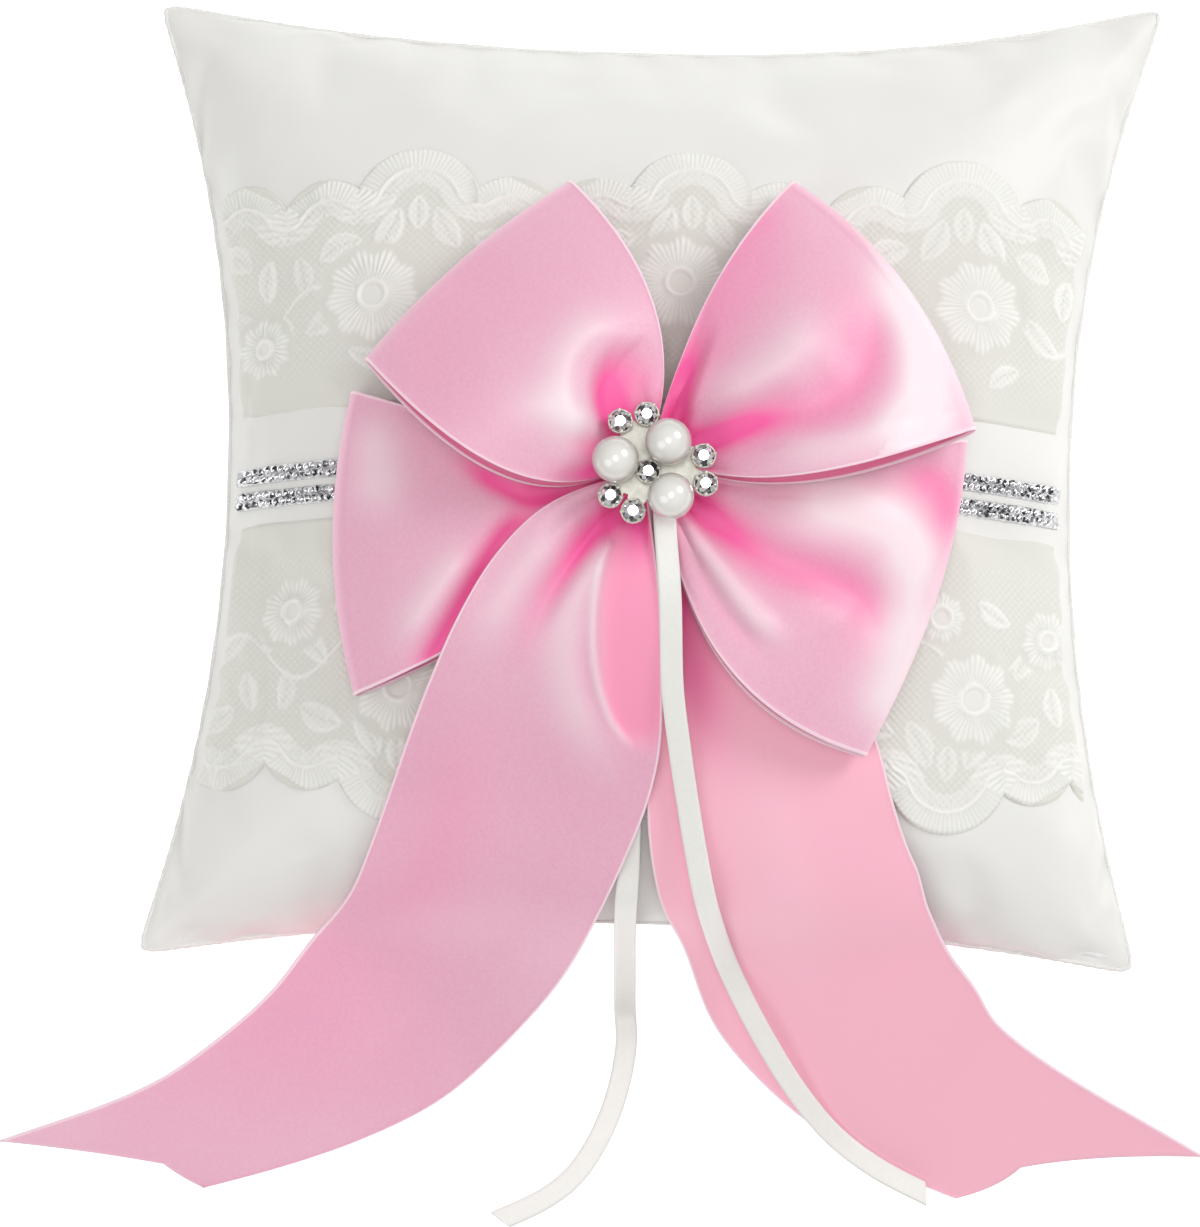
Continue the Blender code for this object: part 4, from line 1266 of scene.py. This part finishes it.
def eased(values, reach):
    """Values smoothed along the first axis over about reach rows."""
    kernel = bell(np.arange(-2 * reach, 2 * reach + 1), reach)
    kernel /= kernel.sum()
    padded = np.pad(values, ((2 * reach, 2 * reach), (0, 0)), mode="edge")
    return sum(w * padded[k:k + len(values)] for k, w in enumerate(kernel))


def tail_edge(tail, side):
    """One long edge of a tail, over the cushion and then past its lower edge."""
    line = []
    for number, station in enumerate(tail["stations"]):
        x, y, height = (value * MM for value in station[side])
        if number < tail["past_edge_from"]:
            line.append((x, y, float(ground(x, y)) + height))
        else:
            line.append((x, y - WAIST_Y, height))
    return line


def make_tails():
    for name, tail in TAILS.items():
        left = name == "bow_tail_left"
        t = ribbon_columns(fine(90))
        s = np.linspace(0, 1, fine(320))
        s2, t2 = np.meshgrid(s, t, indexing="ij")
        across, depth = tail["notch"]
        cut = np.where(t2 < across, t2 / across, (1 - t2) / (1 - across))
        reach = s2 * (1 - cut * depth)
        edges = [even_curve(tail_edge(tail, side), reach) for side in (0, 1)]
        points = mix(*edges, t2[..., None])
        inward = 1 - EDGE_MARGIN / WAIST_Y
        under = ground(points[..., 0] * inward, points[..., 1] * inward)
        floor = np.where(under > 0, under + TAIL_CLEARANCE, FLOOR_CLEARANCE)
        points[..., 2] = np.maximum(points[..., 2], floor)
        away_from_ends = smooth(1.0, 0.93, s2) * smooth(0.0, 0.04, s2)
        for axis in range(3):
            smoothed = eased(points[..., axis], len(s) // 36)
            points[..., axis] = mix(points[..., axis], smoothed, away_from_ends)
        folds, painted_shade, painted_highlight, reverse = crease_fields(points[..., 0], points[..., 1], CREASES[name])
        if left:
            points[..., 0] += UNDER_RING_RIBBON * t2**4 * bell(points[..., 1] + 30 * MM, 16 * MM)
            folds += pleats(s2 * 2.2, t2, 4, 0.6)
        least = np.where(under > 0, under + 0.6 * MM, FLOOR_CLEARANCE)
        points[..., 2] = np.maximum(points[..., 2] + folds, least)
        turned = (reverse, 1) if left else (1, 0)  # the right tail shows its reverse all over
        # Painted shade and painted highlights from the tail's folds go on its upper face.
        marks = {"painted_shade": (painted_shade, 0), "painted_highlight": (painted_highlight, 0), "reverse": turned}
        make_ribbon(name, points, t, marks)


def make_binding():
    """The satin wrap that the bow is gathered into, pleated down its sides."""
    angle = np.linspace(0, 2 * np.pi, 72, endpoint=False)
    z = np.linspace(0, 1, 24)
    base = float(ground(*KNOT)) + BINDING_LIFT
    a, h = np.meshgrid(angle, z, indexing="xy")
    radius = BINDING_RADIUS * (0.94 - 0.10 * np.sin(np.pi * h)) + 0.22 * MM * np.cos(11 * a + 2 * h)
    points = np.stack([
        KNOT[0] + radius * np.cos(a), KNOT[1] + radius * np.sin(a), base + h * BINDING_HEIGHT,
    ], -1)
    for end in (0, -1):
        points[end, :, :2] = KNOT + (points[end, :, :2] - KNOT) * 0.9
    rows, columns = points.shape[:2]
    uv = np.stack(np.broadcast_arrays((0.25 + 0.5 * h) * RIBBON_WIDTH, a * BINDING_RADIUS), -1)
    ring = np.arange(columns)[None, :]
    faces = [grid_faces(rows, columns, wrap=True)[:, ::-1], ring[:, ::-1], ring + (rows - 1) * columns]
    obj = mesh_object("bow_binding_satin", points, faces, PINK_SATIN, uv)
    finish_piece(obj, ["bow_binding"])


# ---- the brooch


def brooch_top():
    return float(ground(*KNOT)) + BINDING_LIFT + BINDING_HEIGHT + BROOCH_GAP + BASE_THICKNESS


def on_brooch(offset, height):
    return Vector((KNOT[0] + offset[0] * MM, KNOT[1] + offset[1] * MM, brooch_top() + height))


def add_bmesh(name, bm, material, location, smooth_faces=True):
    mesh = bpy.data.meshes.new(name)
    bm.to_mesh(mesh)
    bm.free()
    obj = place_mesh(name, mesh, material, smooth_faces)
    obj.location = location
    return obj


def make_base():
    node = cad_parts["brooch_base"]
    for slot in node.material_slots:
        slot.material = METAL
    bevel = node.modifiers.new("soft_edge", "BEVEL")
    bevel.width, bevel.segments, bevel.limit_method = 0.18 * MM, 3, "ANGLE"


def make_pearls():
    for number, offset in enumerate(PEARLS, 1):
        bm = bmesh.new()
        bmesh.ops.create_uvsphere(bm, u_segments=64, v_segments=40, radius=PEARL_RADIUS)
        obj = add_bmesh(f"round_pearl_{number}", bm, PEARL, on_brooch(offset, TOUCH_GAP + PEARL_RADIUS))
        finish_piece(obj, [f"pearl_{number}"])


CUP_STEPS, PRONGS, PRONG_RADIUS = 48, 6, 0.46 * MM


def make_cup(number, offset):
    """A turned cup with a small round claw at each of its prongs."""
    wall, bore, axis = CUP_RADIUS, CUP_RADIUS - CUP_WALL, 0.02 * MM
    profile = [
        (axis, 0.0), (wall * 0.80, 0.0), (wall * 0.93, 0.12 * MM), (wall, 0.45 * MM),
        (wall, CUP_HEIGHT - 0.15 * MM), (wall - 0.08 * MM, CUP_HEIGHT), (bore, CUP_HEIGHT),
        (bore - 0.05 * MM, CUP_HEIGHT - 0.2 * MM), (bore, CUP_FLOOR), (axis, CUP_FLOOR),
    ]
    bm = bmesh.new()
    turns = np.linspace(0, 2 * np.pi, CUP_STEPS, endpoint=False)
    rings = [[bm.verts.new((r * np.cos(a), r * np.sin(a), z)) for a in turns] for r, z in profile]
    for low, high in zip(rings, rings[1:]):
        for k in range(CUP_STEPS):
            after = (k + 1) % CUP_STEPS
            bm.faces.new((low[k], low[after], high[after], high[k]))
    bm.faces.new(rings[0][::-1])
    bm.faces.new(rings[-1])
    out = wall - 0.28 * MM
    for k in range(PRONGS):
        a = 2 * np.pi * (k + 0.3 * number) / PRONGS
        spot = (out * math.cos(a), out * math.sin(a), CUP_HEIGHT + 0.12 * MM)
        bmesh.ops.create_uvsphere(
            bm, u_segments=16, v_segments=10, radius=PRONG_RADIUS, matrix=Matrix.Translation(spot)
        )
    bmesh.ops.recalc_face_normals(bm, faces=bm.faces)
    obj = add_bmesh(f"claw_cup_{number}", bm, METAL, on_brooch(offset, TOUCH_GAP))
    finish_piece(obj, [f"crystal_cup_{number}"])


def make_crystal(number, offset):
    """A chaton: eight-sided table, star and kite facets round it, and a pointed pavilion."""
    girdle = CUP_RADIUS - CUP_WALL - 0.08 * MM
    base, top = CUP_HEIGHT, CUP_HEIGHT + 0.85 * MM
    bm = bmesh.new()

    def ring(radius, height, count, turn):
        angles = (0.2 * number + turn + 2 * np.pi * k / count for k in range(count))
        return [bm.verts.new((radius * math.cos(a), radius * math.sin(a), height)) for a in angles]

    table = ring(girdle * 0.52, top, 8, 0)
    crown_ring = ring(girdle * 0.80, mix(base, top, 0.5), 8, np.pi / 8)
    rim = ring(girdle, base, 16, 0)
    low = ring(girdle * 0.99, base - 0.12 * MM, 16, 0)
    point = bm.verts.new((0, 0, CUP_FLOOR + 0.1 * MM))
    bm.faces.new(table)
    for k in range(8):
        after, kite, edge = (k + 1) % 8, crown_ring[k], [rim[(2 * k + n) % 16] for n in range(3)]
        bm.faces.new((table[k], kite, table[after]))
        bm.faces.new((table[after], kite, edge[2], crown_ring[after]))
        bm.faces.new((kite, edge[0], edge[1]))
        bm.faces.new((kite, edge[1], edge[2]))
    for k in range(16):
        after = (k + 1) % 16
        bm.faces.new((rim[k], rim[after], low[after], low[k]))
        bm.faces.new((low[k], low[after], point))
    bmesh.ops.recalc_face_normals(bm, faces=bm.faces)
    # Random tones per face: painted reflections, dark or bright.
    tones = RNG.uniform(0, 1, len(bm.faces))
    tones[0] = 0.7  # the table's painted reflection, fairly bright
    obj = add_bmesh(f"chaton_{number}", bm, CRYSTAL, on_brooch(offset, TOUCH_GAP), smooth_faces=False)
    set_attribute(obj, "painted_reflection", tones, "FACE")
    finish_piece(obj, [f"crystal_{number}"])


def main():
    make_camera()
    make_ring_ribbons()
    make_stage()
    cushion, surface, points, back_index = make_cushion()
    subdivide(cushion)
    finish_piece(cushion, ["front_cover", "back_cover"])
    make_filling(points, back_index)
    make_seam()
    make_lace(surface)
    make_trims(surface)
    make_loops()
    make_tails()
    make_binding()
    make_base()
    make_pearls()
    for number, offset in enumerate(CRYSTALS, 1):
        make_cup(number, offset)
        make_crystal(number, offset)


main()
